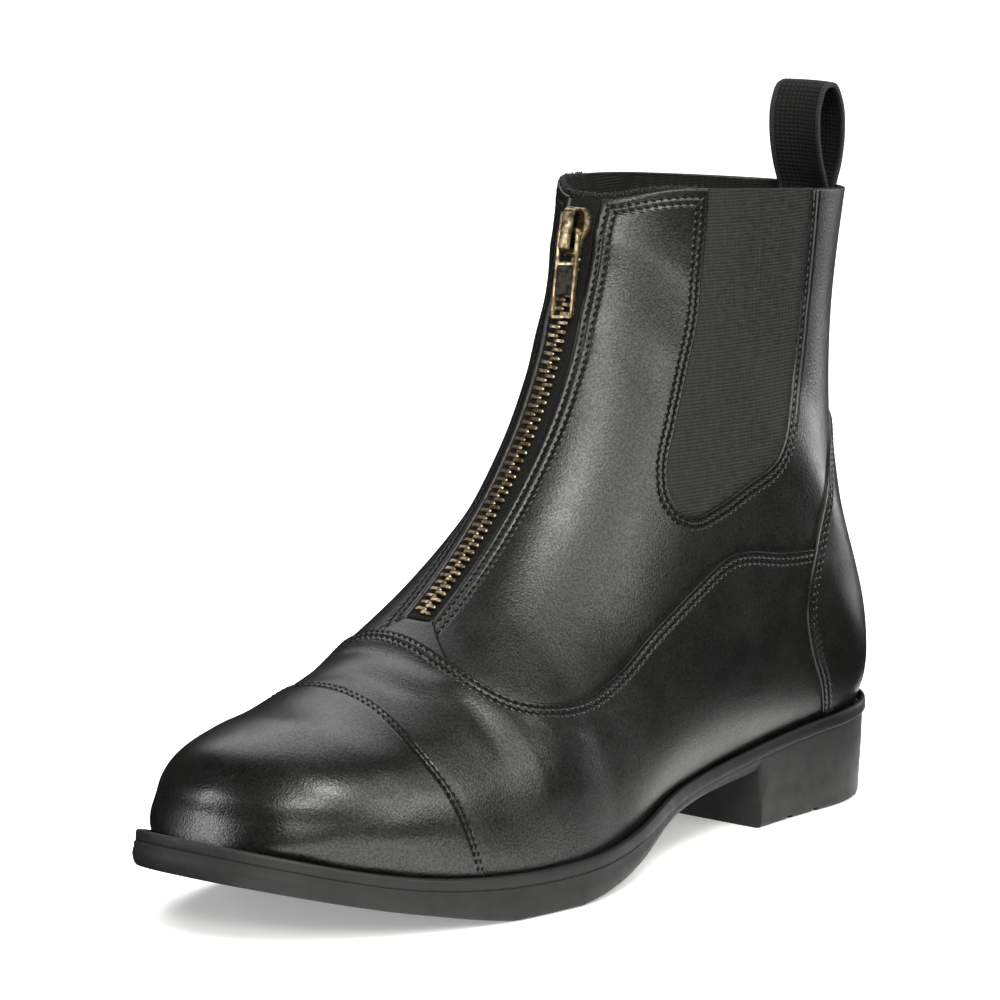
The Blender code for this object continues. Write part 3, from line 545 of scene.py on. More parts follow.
def collar_height(points):
    """Height of the leather's top edge at points, with its dip beside the zip."""
    front, back = SECTIONS[-1], BACK_SEAM[-1]
    slope = (front.top_z - back[0]) / (front.top_x - back[1])
    aside = np.abs(points[:, 1] - ZIP_MIDDLE)
    dip = COLLAR_DIP * (1 - blend(aside, COLLAR_DIP_FROM, COLLAR_DIP_TO))
    dip *= blend(points[:, 0], *COLLAR_DIP_BACK)
    past = past_collar(points[:, 0]) - COLLAR_UNDER
    return back[0] + slope * (points[:, 0] - back[1]) + past - dip


# Columns of a skin: place, outward direction, then the fields that the panels are cut by.
FIELDS = ("cap", "wing", "counter", "gusset", "slot", "opening", "zip", "collar", "foot")
COLUMN = {name: 6 + k for k, name in enumerate(FIELDS)}
FAR_OFF = 50.0
NO_ROW = 20.0
SNAP = 0.02


def grid_skin(rows, grid):
    """Points and triangles of the grid over the upper, with its two sides joined behind the heel."""
    across = grid.shape[1] - 1
    points = [grid[0, :1]]
    index = np.zeros(grid.shape[:2], int)
    count = 1
    for k in range(1, len(rows)):
        width = across if rows[k] >= HEEL_EDGE else across + 1
        index[k] = count + np.arange(across + 1) % width
        points.append(grid[k, :width])
        count += width
    a, b = index[:-1, :-1].ravel(), index[:-1, 1:].ravel()
    c, d = index[1:, 1:].ravel(), index[1:, :-1].ravel()
    corners = np.vstack([np.column_stack([a, b, c]), np.column_stack([a, c, d])])
    distinct = (corners != np.roll(corners, 1, axis=1)).all(axis=1)
    return np.vstack(points), corners[distinct]


def outward(points, corners):
    """Outward direction at each point."""
    a, b, c = (points[corners[:, k]] for k in range(3))
    facing = np.cross(b - a, c - a)
    total = np.zeros_like(points)
    for k in range(3):
        np.add.at(total, corners[:, k], facing)
    return unit(total)


def side_view(points):
    """Where points lie in the side view that the seams are drawn in."""
    x = points[:, 0].copy()
    for _ in range(4):
        x = points[:, 0] - SEAM_LEAN * blend(x, LEAN_FROM, LEAN_TO) * points[:, 1]
    return np.column_stack([x, points[:, 2]])


def signed(places, outline):
    """Distance of places from a closed outline, above zero inside it."""
    inside = np.zeros(len(places), bool)
    nearest = np.full(len(places), 1e9)
    x, z = places.T
    for start, end in zip(outline, np.roll(outline, -1, axis=0)):
        run = end - start
        share = np.clip(((x - start[0]) * run[0] + (z - start[1]) * run[1]) / max(run @ run, 1e-9), 0, 1)
        away = np.hypot(x - start[0] - share * run[0], z - start[1] - share * run[1])
        nearest = np.minimum(nearest, away)
        if run[1] != 0:
            crosses = (start[1] > z) != (end[1] > z)
            inside ^= crosses & (x < start[0] + (z - start[1]) * run[0] / run[1])
    return np.where(inside, nearest, -nearest)


def level_segments(corners, value):
    """Pairs of edges that the zero line of a value crosses, and where along each edge."""
    side = value[corners] > 0
    mixed = side.any(axis=1) & ~side.all(axis=1)
    ends = []
    for tri, flags in zip(corners[mixed], side[mixed]):
        lone = int(np.argmax(flags if flags.sum() == 1 else ~flags))
        a, b, c = tri[lone], tri[(lone + 1) % 3], tri[(lone + 2) % 3]
        ends.append(((min(a, b), max(a, b)), (min(a, c), max(a, c))))
    return ends


def edge_point(points, value, edge):
    """Columns of the point where a value is zero on an edge."""
    a, b = edge
    t = value[a] / (value[a] - value[b])
    return points[a] + t * (points[b] - points[a])


def true_distance(points, corners, value, reach=14.0):
    """A field with the zero line of a value, and the real distance from that line close to it."""
    ends = level_segments(corners, value)
    start = np.array([edge_point(points, value, edge) for edge, _ in ends])
    end = np.array([edge_point(points, value, edge) for _, edge in ends])
    middle = 0.5 * (start + end)
    run = end - start
    square = np.maximum((run * run).sum(axis=1), 1e-12)
    result = np.sign(value) * np.maximum(np.abs(value), reach)
    near = np.where(np.abs(value) < reach)[0]
    for chunk in np.array_split(near, max(1, len(near) // 1500)):
        place = points[chunk]
        gaps = ((place[:, None, :] - middle[None]) ** 2).sum(axis=2)
        best = np.argpartition(gaps, min(4, gaps.shape[1] - 1), axis=1)[:, :4]
        away = place[:, None, :] - start[best]
        share = np.clip((away * run[best]).sum(axis=2) / square[best], 0, 1)
        gap = np.linalg.norm(away - share[..., None] * run[best], axis=2).min(axis=1)
        result[chunk] = np.where(value[chunk] > 0, gap, -gap)
    return result


def seam_fields(points, corners):
    """Distance of each point from each seam, above zero on the panel that the seam is named after."""
    places = side_view(points)
    cap = seam_curve(CAP_SEAM)
    wing = seam_curve(WING_SEAM)
    counter = seam_curve(COUNTER_SEAM)
    gusset = seam_curve(GUSSET_FRONT + GUSSET_REAR)
    under = [(PAST_HEEL, wing[-1, 1]), (PAST_HEEL, UNDER_SOLE), (PAST_TOE, UNDER_SOLE),
             (PAST_TOE, wing[0, 1])]
    outlines = (
        np.vstack([cap, [(PAST_TOE, cap[-1, 1]), (PAST_TOE, cap[0, 1])]]),
        np.vstack([wing, under]),
        np.vstack([counter, [(PAST_HEEL, UNDER_SOLE), (PAST_HEEL, counter[0, 1])]]),
        gusset,
    )
    values = [signed(places, outline) for outline in outlines]
    aside = np.abs(points[:, 1] - ZIP_MIDDLE)
    below = np.maximum(SLOT_FOOT - points[:, 2], 0)
    half = SLOT_FOOT_HALF + (SLOT_HALF - SLOT_FOOT_HALF) * blend(points[:, 2], *SLOT_NARROW)
    slot = np.minimum(half - aside, points[:, 2] - SLOT_FOOT)
    opening = np.minimum(half + PATCH_SPREAD * below - aside, points[:, 2] - PATCH_FOOT)
    for value in (slot, opening, half - aside):
        values.append(np.where(points[:, 0] > ZIP_BACK, value, -FAR_OFF))
    fields = [true_distance(points, corners, value) for value in values]
    down = np.minimum(collar_height(points) - points[:, 2], NO_ROW)
    foot = points[:, 2] - bed(points[:, 0])
    return np.column_stack(fields + [down, foot])


def split(points, corners, name, level):
    """Cut triangles along the line where a field has a value."""
    place = COLUMN[name]
    value = points[:, place] - level
    value[np.abs(value) < SNAP] = 0.0
    points[:, place] = value + level
    side = np.sign(value)
    signs = side[corners]
    cuts = (signs.min(axis=1) < 0) & (signs.max(axis=1) > 0)
    whole = corners[~cuts]
    todo = corners[cuts]
    touching = (side[todo] == 0).any(axis=1)
    full, half = todo[~touching], todo[touching]
    lone = np.argmax(side[full] == -side[full].sum(axis=1)[:, None], axis=1)
    full = np.take_along_axis(full, (lone[:, None] + np.arange(3)) % 3, axis=1)
    on = np.argmax(side[half] == 0, axis=1)
    half = np.take_along_axis(half, (on[:, None] + np.arange(3)) % 3, axis=1)
    edges = np.sort(np.vstack([full[:, [0, 1]], full[:, [0, 2]], half[:, [1, 2]]]), axis=1)
    if len(edges) == 0:
        return points, corners
    unique, inverse = np.unique(edges, axis=0, return_inverse=True)
    inverse = inverse.ravel() + len(points)
    u, v = unique.T
    t = (value[u] / (value[u] - value[v]))[:, None]
    fresh = points[u] + t * (points[v] - points[u])
    fresh[:, place] = level
    n = len(full)
    p, q, r = inverse[:n], inverse[n:2 * n], inverse[2 * n:]
    a, b, c = full.T
    o, d, e = half.T
    pieces = [whole, np.column_stack([a, p, q]), np.column_stack([p, b, c]), np.column_stack([p, c, q]),
              np.column_stack([o, d, r]), np.column_stack([o, r, e])]
    return np.vstack([points, fresh]), np.vstack(pieces)


def edge_rise(distance, width=EDGE_ROUND):
    """Rounded rise of a sheet's edge, from 0 at the edge to 1 a little way in."""
    t = np.clip(distance / width, 0, 1)
    return np.sqrt(np.clip(1 - (1 - t) ** 2, 0, 1))


def in_scene(points):
    """Points in millimetres as places in the scene."""
    return (np.asarray(points, float) - SHIFT) * MM


def add_object(name, data):
    """New object in the scene."""
    thing = bpy.data.objects.new(name, data)
    bpy.context.scene.collection.objects.link(thing)
    return thing


def add_mesh(name, points, faces, material, body="boot", slot=None, fields=None, sharp=None):
    """Object from points in millimetres and faces, which rides on a body."""
    mesh = bpy.data.meshes.new(name)
    if isinstance(faces, np.ndarray):
        faces = faces.tolist()
    mesh.from_pydata(in_scene(points).tolist(), [], faces)
    mesh.shade_smooth()
    if sharp is not None:
        mesh.set_sharp_from_angle(angle=math.radians(sharp))
    for key, values in (fields or {}).items():
        layer = mesh.attributes.new(key, "FLOAT", "POINT")
        layer.data.foreach_set("value", np.asarray(values, np.float32))
    piece = add_object(name, mesh)
    mesh.materials.append(material)
    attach(piece, body)
    return piece


# Materials

BANDS_PER_SCALE = 3.183


def grey(value):
    """A colour without a hue."""
    return (value, value, value)


class Shader:
    """A material and short ways to add the nodes of its pattern."""

    def __init__(self, name, colour, roughness, metallic=0.0):
        self.material = bpy.data.materials.new(name)
        self.material.use_nodes = True
        self.tree = self.material.node_tree
        self.base = self.tree.nodes["Principled BSDF"]
        self.set("Base Color", (*colour, 1.0))
        self.set("Roughness", roughness)
        self.set("Metallic", metallic)
        self.place = self.tree.nodes.new("ShaderNodeTexCoord").outputs["Object"]
        self.heights = []

    def set(self, socket, value):
        """Set a value of the shader that is the same all over."""
        self.base.inputs[socket].default_value = value

    def link(self, output, socket):
        """Let an output drive a value of the shader."""
        self.tree.links.new(output, self.base.inputs[socket])

    def node(self, kind, inputs=(), **options):
        """New node, with its options, and its inputs set or linked."""
        node = self.tree.nodes.new(kind)
        for key, value in options.items():
            setattr(node, key, value)
        for socket, value in inputs:
            if isinstance(value, bpy.types.NodeSocket):
                self.tree.links.new(value, node.inputs[socket])
            else:
                node.inputs[socket].default_value = value
        return node

    def math(self, operation, first, second=0.0):
        """Result of a sum with one or two numbers or outputs."""
        return self.node("ShaderNodeMath", ((0, first), (1, second)), operation=operation).outputs[0]

    def stretched(self, along_x, along_y, along_z):
        """The object's own coordinates, stretched along each axis."""
        inputs = (("Vector", self.place), ("Scale", (along_x, along_y, along_z)))
        return self.node("ShaderNodeMapping", inputs).outputs["Vector"]

    def noise(self, scale, detail=4.0, rough=0.55, vector=None):
        """Soft noise from 0 to 1."""
        inputs = (("Vector", vector or self.place), ("Scale", scale), ("Detail", detail),
                  ("Roughness", rough))
        return self.node("ShaderNodeTexNoise", inputs).outputs["Fac"]

    def cells(self, scale):
        """Distance from the middles of small soft cells."""
        inputs = (("Vector", self.place), ("Scale", scale))
        return self.node("ShaderNodeTexVoronoi", inputs, feature="SMOOTH_F1").outputs["Distance"]

    def waves(self, pitch_mm, direction):
        """Even bands with a pitch in millimetres, along one axis."""
        scale = 1.0 / (pitch_mm * MM) / BANDS_PER_SCALE
        inputs = (("Vector", self.place), ("Scale", scale), ("Distortion", 0.0))
        return self.node("ShaderNodeTexWave", inputs, bands_direction=direction).outputs["Fac"]

    def ramp(self, value, low, high, start=0.0, end=1.0):
        """A value from start to end, as low to high."""
        inputs = (("Value", value), ("From Min", start), ("From Max", end), ("To Min", low),
                  ("To Max", high))
        return self.node("ShaderNodeMapRange", inputs, interpolation_type="SMOOTHSTEP").outputs["Result"]

    def tint(self, value, dark, light):
        """Mix of two colours, each three numbers or an output."""
        ends = [(*end, 1.0) if isinstance(end, tuple) else end for end in (dark, light)]
        inputs = ((0, value), (6, ends[0]), (7, ends[1]))
        return self.node("ShaderNodeMix", inputs, data_type="RGBA").outputs[2]

    def field(self, name):
        """One of the fields that a panel's mesh carries."""
        return self.node("ShaderNodeAttribute", attribute_name=name).outputs["Fac"]

    def trough(self, distance, width):
        """A value that is 1 where a distance is 0 and falls to 0 beside it."""
        offset = self.math("DIVIDE", distance, width)
        square = self.math("MULTIPLY", offset, offset)
        return self.math("EXPONENT", self.math("MULTIPLY", square, -1.0))

    def bump(self, height, depth_mm):
        """Raise the surface by a pattern that runs from 0 to 1 over a depth in millimetres."""
        inputs = [("Height", height), ("Distance", depth_mm * MM), ("Strength", 1.0)]
        if self.heights:
            inputs.append(("Normal", self.heights[-1]))
        self.heights.append(self.node("ShaderNodeBump", inputs).outputs["Normal"])

    def done(self):
        """The material, once its bumps are linked."""
        if self.heights:
            self.link(self.heights[-1], "Normal")
        return self.material


def leather(name, panel, dark, light, roughness, grain=1.0):
    """Black leather with a fine grain, and a trough along each row of stitches."""
    look = Shader(name, dark, roughness)
    patches = look.ramp(look.noise(38.0, 5.0, 0.6), 0.0, 0.5, 0.3, 0.7)
    specks = look.ramp(look.noise(1500.0, 2.0, 0.6), 0.0, 0.5, 0.35, 0.65)
    look.link(look.tint(look.math("ADD", patches, specks), dark, light), "Base Color")
    look.link(look.ramp(specks, 0.40, 0.60, 0.0, 0.5), "Specular IOR Level")
    pores = look.cells(1700.0)
    fine = look.noise(2300.0, 3.0, 0.6)
    worn = look.noise(120.0, 2.0, 0.5)
    look.link(look.ramp(worn, roughness - 0.02, roughness + 0.03, 0.3, 0.7), "Roughness")
    look.bump(worn, 0.025 * grain)
    look.bump(pores, 0.055 * grain)
    look.bump(fine, 0.03 * grain)
    look.bump(stitch_trough(look, panel), TROUGH_DEEP)
    return look.done()


def rubber(name, dark, light, roughness, fore=None):
    """Matte moulded rubber with a sandy surface, and two more colours ahead of the waist if given."""
    look = Shader(name, dark, roughness)
    clouds = look.ramp(look.noise(60.0, 6.0, 0.65), 0.0, 1.0, 0.3, 0.7)
    colour = look.tint(clouds, dark, light)
    if fore:
        ahead = look.node("ShaderNodeSeparateXYZ", ((0, look.place),)).outputs[0]
        colour = look.tint(look.ramp(ahead, 0.0, 1.0, *FORE_COLOUR), colour, look.tint(clouds, *fore))
    look.link(colour, "Base Color")
    worn = look.noise(220.0, 4.0)
    look.link(look.ramp(worn, roughness - 0.06, roughness + 0.06, 0.3, 0.7), "Roughness")
    look.set("Specular IOR Level", 0.25)
    look.bump(look.noise(1500.0, 4.0), 0.05)
    look.bump(look.noise(90.0, 3.0), 0.08)
    return look.done()


def cloth(name, dark, light, pitch_mm, roughness=0.85, depth=0.15):
    """Woven cloth: two sets of threads across each other."""
    look = Shader(name, dark, roughness)
    threads = look.math("MULTIPLY", look.waves(pitch_mm, "Z"), look.waves(pitch_mm / WARP_SHARE, "Y"))
    fuzz = look.noise(900.0, 4.0)
    look.link(look.tint(look.math("MULTIPLY", threads, fuzz), dark, light), "Base Color")
    look.set("Specular IOR Level", 0.2)
    look.bump(threads, depth)
    look.bump(fuzz, 0.06)
    return look.done()


def thread(name):
    """Black twisted thread."""
    look = Shader(name, grey(0.0015), 0.7)
    twist = look.noise(2200.0, 2.0)
    look.link(look.tint(twist, grey(0.0008), grey(0.004)), "Base Color")
    look.set("Specular IOR Level", 0.12)
    look.bump(twist, 0.04)
    return look.done()


def elastic(name):
    """Ribbed elastic: close ribs across it and thin lines down it."""
    look = Shader(name, grey(0.006), 0.75)
    ribs = look.waves(1.0, "Z")
    lines = look.waves(1.4, "X")
    streaks = look.noise(900.0, 3.0, 0.6, look.stretched(1.0, 1.0, 0.05))
    weave = look.math("ADD", look.math("MULTIPLY", ribs, 0.42), look.math("MULTIPLY", lines, 0.15))
    weave = look.math("ADD", weave, look.math("MULTIPLY", streaks, 0.5))
    fuzz = look.noise(700.0, 4.0)
    look.link(look.tint(look.math("MULTIPLY", weave, fuzz), grey(0.0016), grey(0.030)), "Base Color")
    look.link(look.ramp(fuzz, 0.62, 0.85, 0.3, 0.7), "Roughness")
    look.set("Specular IOR Level", 0.3)
    look.bump(weave, 0.20)
    look.bump(fuzz, 0.05)
    return look.done()


def brass(name, dark, light, roughness):
    """Worn antique brass."""
    look = Shader(name, light, roughness, 1.0)
    tarnish = look.noise(420.0, 5.0, 0.65)
    look.link(look.tint(look.ramp(tarnish, 0.0, 1.0, 0.35, 0.6), dark, light), "Base Color")
    look.link(look.ramp(tarnish, roughness + 0.14, roughness - 0.05, 0.3, 0.7), "Roughness")
    look.bump(look.noise(1300.0, 3.0), 0.03)
    return look.done()


# Rows of stitches: for each panel, the fields that a row keeps its distances from, and their signs.
STITCHES = {
    "cap": ((("cap", 1),), ((1.2,), (2.5,))),
    "vamp": ((("wing", 1),), ((1.2,), (3.2,))),
    "counter": ((("counter", 1),), ((1.2,), (3.2,))),
    "shaft": ((("gusset", -1), ("zip", -1), ("collar", 1)), ((1.4, 2.4, 2.0), (3.4, 4.8, 3.9))),
}
BACK_STRIP = 54.0
NO_STITCH_BACK = 57.0
STITCH_PITCH = 2.35
STITCH_SLANT = 0.35
STITCH_SIZE = (0.85, 0.46, 0.24)
STITCH_SINK = 0.05
STITCH_CLEAR = 3.5
TROUGH_WIDE = 0.62
TROUGH_DEEP = 0.32
ROW_STEP = 0.3
PUCKER_LONG = 1.05
PUCKER_WIDE = 0.62
PUCKER_HIGH = 0.22
PUCKER_SINK = 0.09
PUCKER_PAST = 0.8

# Colours of the rubber at the heel's welt, made darker there as painted shade under the upper's edge, and
# ahead of the waist, and where the second come in.
SHADED_HEEL_RUBBER = ((0.0030, 0.0030, 0.0031), (0.0060, 0.0060, 0.0061))
FORE_RUBBER = ((0.0078, 0.0079, 0.0080), (0.0122, 0.0123, 0.0125))
FORE_COLOUR = (-0.015, 0.065)
WARP_SHARE = 0.8

PANEL_SLOT = {"shaft": "upper_leather", "patch": "upper_leather", "vamp": "vamp_leather",
              "cap": "cap_leather", "counter": "counter_leather", "gusset": "elastic", "tape": "zip_tape"}


def stitch_trough(look, panel):
    """Soft trough along the panel's rows of stitches."""
    fields, rows = STITCHES[panel]
    distances = [look.math("MULTIPLY", look.field(name), float(sign)) for name, sign in fields]
    total = None
    for row in rows:
        nearest = None
        for distance, at in zip(distances, row):
            past = look.math("SUBTRACT", distance, at)
            nearest = past if nearest is None else look.math("MINIMUM", nearest, past)
        line = look.trough(nearest, TROUGH_WIDE)
        total = line if total is None else look.math("ADD", total, line)
    return look.math("MULTIPLY", total, -1.0)


def make_materials():
    """All the materials, by the names that the pieces ask for."""
    black = grey(0.0002)
    soft = (0.0056, 0.0054, 0.0050)
    return {
        "shaft": leather("shaft_leather", "shaft", black, soft, 0.35),
        "vamp": leather("vamp_leather", "vamp", black, soft, 0.34),
        "cap": leather("cap_leather", "cap", black, soft, 0.29, 0.85),
        "counter": leather("counter_leather", "counter", black, soft, 0.31, 0.6),
        "thread": thread("thread"),
        "elastic": elastic("gusset_elastic"),
        "tape": cloth("zip_tape", grey(0.003), grey(0.012), 0.7),
        "lining": cloth("lining", grey(0.003), grey(0.016), 0.9),
        "sock": cloth("sock", grey(0.004), grey(0.014), 1.0),
        "webbing": cloth("webbing", grey(0.003), grey(0.017), 1.2, 0.8, 0.25),
        "fuzz": cloth("fuzz", grey(0.020), grey(0.060), 0.8),
        "binding": cloth("binding", grey(0.012), (0.040, 0.040, 0.041), 0.8, 0.8, 0.15),
        "sole": rubber("sole_rubber", *FORE_RUBBER, 0.58),
        # The welt's darker colour behind the waist is painted shade under the upper's edge, not a different
        # rubber.
        "welt": rubber("welt_rubber", *SHADED_HEEL_RUBBER, 0.5, FORE_RUBBER),
        "teeth": brass("teeth_brass", (0.10, 0.075, 0.045), (0.46, 0.365, 0.245), 0.34),
        "slider": brass("slider_brass", (0.065, 0.048, 0.028), (0.36, 0.28, 0.175), 0.34),
        "pull": brass("pull_brass", (0.075, 0.056, 0.032), (0.40, 0.315, 0.195), 0.32),
        "panel": brass("pull_panel", (0.020, 0.018, 0.015), (0.05, 0.044, 0.036), 0.5),
    }


# Upper

CREASES = (
    # x on the ridge, bend back with the distance from it, y from, y to, depth, half width
    (188.5, 0.004, -26.0, 16.0, 0.55, 2.8),
    (200.5, 0.003, -26.0, 22.0, 0.55, 2.4),
    (212.0, 0.002, -20.0, 20.0, 0.40, 2.2),
    (196.0, 0.006, 12.0, 42.0, 0.40, 2.6),
    (205.0, 0.004, 16.0, 44.0, 0.35, 2.4),
)


WRINKLES = (
    # x, z of one end, x, z of the other, depth, half width
    (189.3, 55.0, 181.8, 33.0, 0.13, 1.1),
    (185.5, 53.0, 180.4, 42.5, 0.11, 1.0),
    (175.2, 53.6, 165.8, 46.4, 0.09, 1.1),
    (193.5, 47.0, 190.5, 36.0, 0.08, 1.1),
    (180.5, 50.0, 174.5, 37.0, 0.08, 1.1),
    (162.3, 52.5, 141.0, 52.0, 0.06, 1.1),
)


def wrinkle_depth(points):
    """How far the fine wrinkles below the wing's low point sink each point of the outer side."""
    x, z = points[:, 0], points[:, 2]
    total = np.zeros(len(points))
    for start_x, start_z, end_x, end_z, depth, width in WRINKLES:
        run = np.array([end_x - start_x, end_z - start_z])
        share = np.clip(((x - start_x) * run[0] + (z - start_z) * run[1]) / (run @ run), 0, 1)
        off = np.hypot(x - start_x - share * run[0], z - start_z - share * run[1]) / width
        total += depth * (np.exp(-off ** 2) - 0.6 * np.exp(-((off - 1.8) / 0.9) ** 2))
    return np.where(points[:, 1] > 0, total, 0)


def crease_depth(points):
    """How far the listed creases of the vamp sink each point."""
    x, y = points[:, 0], points[:, 1]
    total = np.zeros(len(points))
    for at, bend, start, end, depth, width in CREASES:
        line = at - bend * (y - ZIP_MIDDLE) ** 2
        fade = blend(y, start, start + 10) * (1 - blend(y, end - 10, end))
        offset = (x - line) / width
        total += depth * fade * (np.exp(-offset ** 2) - 0.45 * np.exp(-((offset - 2.0) / 1.3) ** 2)
                                 - 0.35 * np.exp(-((offset + 2.0) / 1.3) ** 2))
    return np.where(points[:, 2] > CREASES_OVER, total, 0)


def toe_sink(points):
    """How far the toe and the vamp lie below the sections."""
    x, z = points[:, 0], points[:, 2]
    deep = TOE_SINK * blend(x, *TOE_SINK_STARTS) + TIP_SINK * blend(x, *TIP_SINK_STARTS)
    return deep * blend(z - bed(x), *SINK_OVER_BED)


def dents(at, depth, *names):
    """Dent in a sheet close to the edges of the sheets that lie on it."""
    return depth * sum(np.exp(-(at[name] / DENT_WIDE) ** 2) for name in names)


def risen(low, high, rise):
    """Height between two heights, by a share."""
    return low + (high - low) * rise


def panel_height(points, panel):
    """Height of a panel over the upper's outside at points with their columns."""
    at = {name: points[:, COLUMN[name]] for name in FIELDS}
    crease = crease_depth(points) + toe_sink(points)
    if panel == "vamp":
        sheet = risen(-VAMP_TUCK, VAMP_HIGH, edge_rise(at["wing"]))
        return sheet - dents(at, VAMP_DENT, "cap", "counter") - crease - wrinkle_depth(points)
    if panel == "cap":
        return risen(VAMP_HIGH - TUCK, CAP_HIGH, edge_rise(at["cap"])) - crease
    if panel == "counter":
        below = blend(at["wing"], -COUNTER_STEP, COUNTER_STEP)
        high = risen(COUNTER_HIGH, COUNTER_LOW_HIGH, below)
        return risen(VAMP_HIGH * below - TUCK, high, edge_rise(at["counter"]))
    if panel == "shaft":
        window = (1 - edge_rise(-at["gusset"], WINDOW_ROUND)) * ELASTIC_DEPTH
        deep = np.where(points[:, 2] > SLOT_FOOT, TAPE_DEPTH, SLOT_LOW_DEPTH)
        slot = (1 - edge_rise(-at["opening"], SLOT_ROUND)) * deep
        return -dents(at, SHAFT_DENT, "wing", "counter") - window - slot
    if panel == "patch":
        return -PATCH_DEPTH - SLOT_LOW_DEPTH * (1 - edge_rise(-at["slot"], PATCH_ROUND))
    if panel == "gusset":
        return -ELASTIC_DEPTH + ELASTIC_SWELL * blend(at["gusset"], 0, ELASTIC_SWELL_WIDE)
    return np.full(len(points), -TAPE_DEPTH)


# Levels of each field that the skin is cut along, so that an edge can be round.
RISE_LEVELS = (0, 0.08, 0.2, 0.45)
CUT_LEVELS = (("cap", RISE_LEVELS), ("wing", RISE_LEVELS), ("counter", RISE_LEVELS),
              ("gusset", (0, -0.12, -0.35, -0.8)), ("opening", (0, -0.12, -0.4, -0.9)),
              ("slot", (0, -0.15, -0.5)), ("collar", (0,)))


def make_skin():
    """The upper's outside with its columns, before and after it is cut along the seams."""
    rows, grid = skin_grid()
    places, corners = grid_skin(rows, grid)
    fields = seam_fields(places, corners)
    points = np.column_stack([places, outward(places, corners), fields])
    whole = (points.copy(), corners)
    for name, levels in CUT_LEVELS:
        for level in levels:
            points, corners = split(points, corners, name, level)
    return whole, (points, corners), grid


def panel_of(points, corners):
    """Name of the panel that each triangle belongs to."""
    middle = {name: points[corners, COLUMN[name]].mean(axis=1) for name in FIELDS}
    return np.select(
        [(middle["slot"] > 0) | (middle["collar"] < 0), (middle["opening"] > 0) & (middle["wing"] < 0),
         middle["gusset"] > 0, middle["cap"] > 0, middle["counter"] > 0, middle["wing"] > 0],
        ["tape", "patch", "gusset", "cap", "counter", "vamp"], "shaft")


def lifted(points, panel):
    """Places of points at a panel's height."""
    return points[:, :3] + unit(points[:, 3:6]) * panel_height(points, panel)[:, None]


def make_panels(skin, looks):
    """Leather panels, elastic and tape, each a piece of the cut skin."""
    points, corners = skin
    owner = panel_of(points, corners)
    for panel, slot in PANEL_SLOT.items():
        look = {"patch": "shaft", "gusset": "elastic"}.get(panel, panel)
        used, faces = part_of(corners[owner == panel])
        part = points[used]
        fields = {name: part[:, COLUMN[name]] for name in FIELDS}
        if panel == "patch":
            fields["zip"] = np.full(len(part), -NO_ROW)
        if panel == "shaft":
            fields["collar"] = np.where(part[:, 0] < BACK_STRIP, NO_ROW, fields["collar"])
        add_mesh("look_" + panel, lifted(part, panel), faces, looks[look], slot=slot, fields=fields)


def rows_of_points(points, corners, value):
    """Ordered runs of columns along the zero line of a value."""
    links = {}
    for first, second in level_segments(corners, value):
        links.setdefault(first, []).append(second)
        links.setdefault(second, []).append(first)
    left = set(links)
    runs = []
    starts = [edge for edge in links if len(links[edge]) == 1]
    for start in starts + sorted(links):
        if start not in left:
            continue
        run = [start]
        left.discard(start)
        while True:
            after = [edge for edge in links[run[-1]] if edge in left]
            if not after:
                break
            run.append(after[0])
            left.discard(after[0])
        if len(run) > 4:
            runs.append(np.array([edge_point(points, value, edge) for edge in run]))
    return runs


def grain_shape(rings=3, sides=6):
    """A unit rice-grain shape for stitches: points and faces."""
    points = [(-1.0, 0.0, 0.0)]
    for ring in range(rings):
        turn = math.pi * (ring + 1) / (rings + 1)
        for side in range(sides):
            angle = 2 * math.pi * side / sides
            wide = math.sin(turn)
            points.append((-math.cos(turn), wide * math.cos(angle), wide * math.sin(angle)))
    points.append((1.0, 0.0, 0.0))
    faces = []
    last = len(points) - 1
    for side in range(sides):
        after = (side + 1) % sides
        faces.append((0, 1 + after, 1 + side))
        for ring in range(rings - 1):
            a, b = 1 + ring * sides + side, 1 + ring * sides + after
            faces += [(a, b, b + sides), (a, b + sides, a + sides)]
        faces.append((1 + (rings - 1) * sides + side, 1 + (rings - 1) * sides + after, last))
    return np.array(points), np.array(faces)


def instances(shape, frames):
    """Copies of a shape in frames, each an origin and three scaled axes, as one mesh."""
    points, faces = shape
    origin, axes = frames
    placed = origin[:, None, :] + np.einsum("pk,nkd->npd", points, axes)
    all_faces = faces[None] + (np.arange(len(origin)) * len(points))[:, None, None]
    return placed.reshape(-1, 3), all_faces.reshape(-1, faces.shape[1])


def row_frames(run, panel, keep, size, start, sink):
    """Frames of small things along one run of columns, slanted as stitches are."""
    long, wide, high = size
    places = lifted(run, panel)
    length = run_length(places)
    at = (np.arange(int(length[-1] / STITCH_PITCH)) + start) * STITCH_PITCH
    columns = resampled(at, length, run)
    middle = resampled(at, length, places)
    along = unit(resampled(at + ROW_STEP, length, places) - resampled(at - ROW_STEP, length, places))
    normal = unit(columns[:, 3:6])
    side = np.cross(normal, along)
    good = keep({name: columns[:, COLUMN[name]] for name in FIELDS} | {"x": columns[:, 0]})
    slant = along * math.cos(STITCH_SLANT) - side * math.sin(STITCH_SLANT)
    axes = np.stack([slant * long, np.cross(normal, slant) * wide, normal * high], axis=1)
    return middle[good] - normal[good] * sink, axes[good]


def on_vamp(at):
    """Where the vamp's rows are not under the cap or the counter."""
    return (at["cap"] < -0.5) & (at["counter"] < -0.5)


def over_welt(at):
    """Where a row clears the welt."""
    return at["foot"] > STITCH_CLEAR


def on_shaft(at):
    """Where the shaft's rows are not under other sheets, in the zip or on the strip at the back."""
    clear = (at["wing"] < -1) & (at["counter"] < -1) & (at["opening"] < -1)
    return clear & ((at["x"] > NO_STITCH_BACK) | (at["gusset"] > -2))


STITCHED = {"cap": over_welt, "vamp": on_vamp, "counter": over_welt, "shaft": on_shaft}


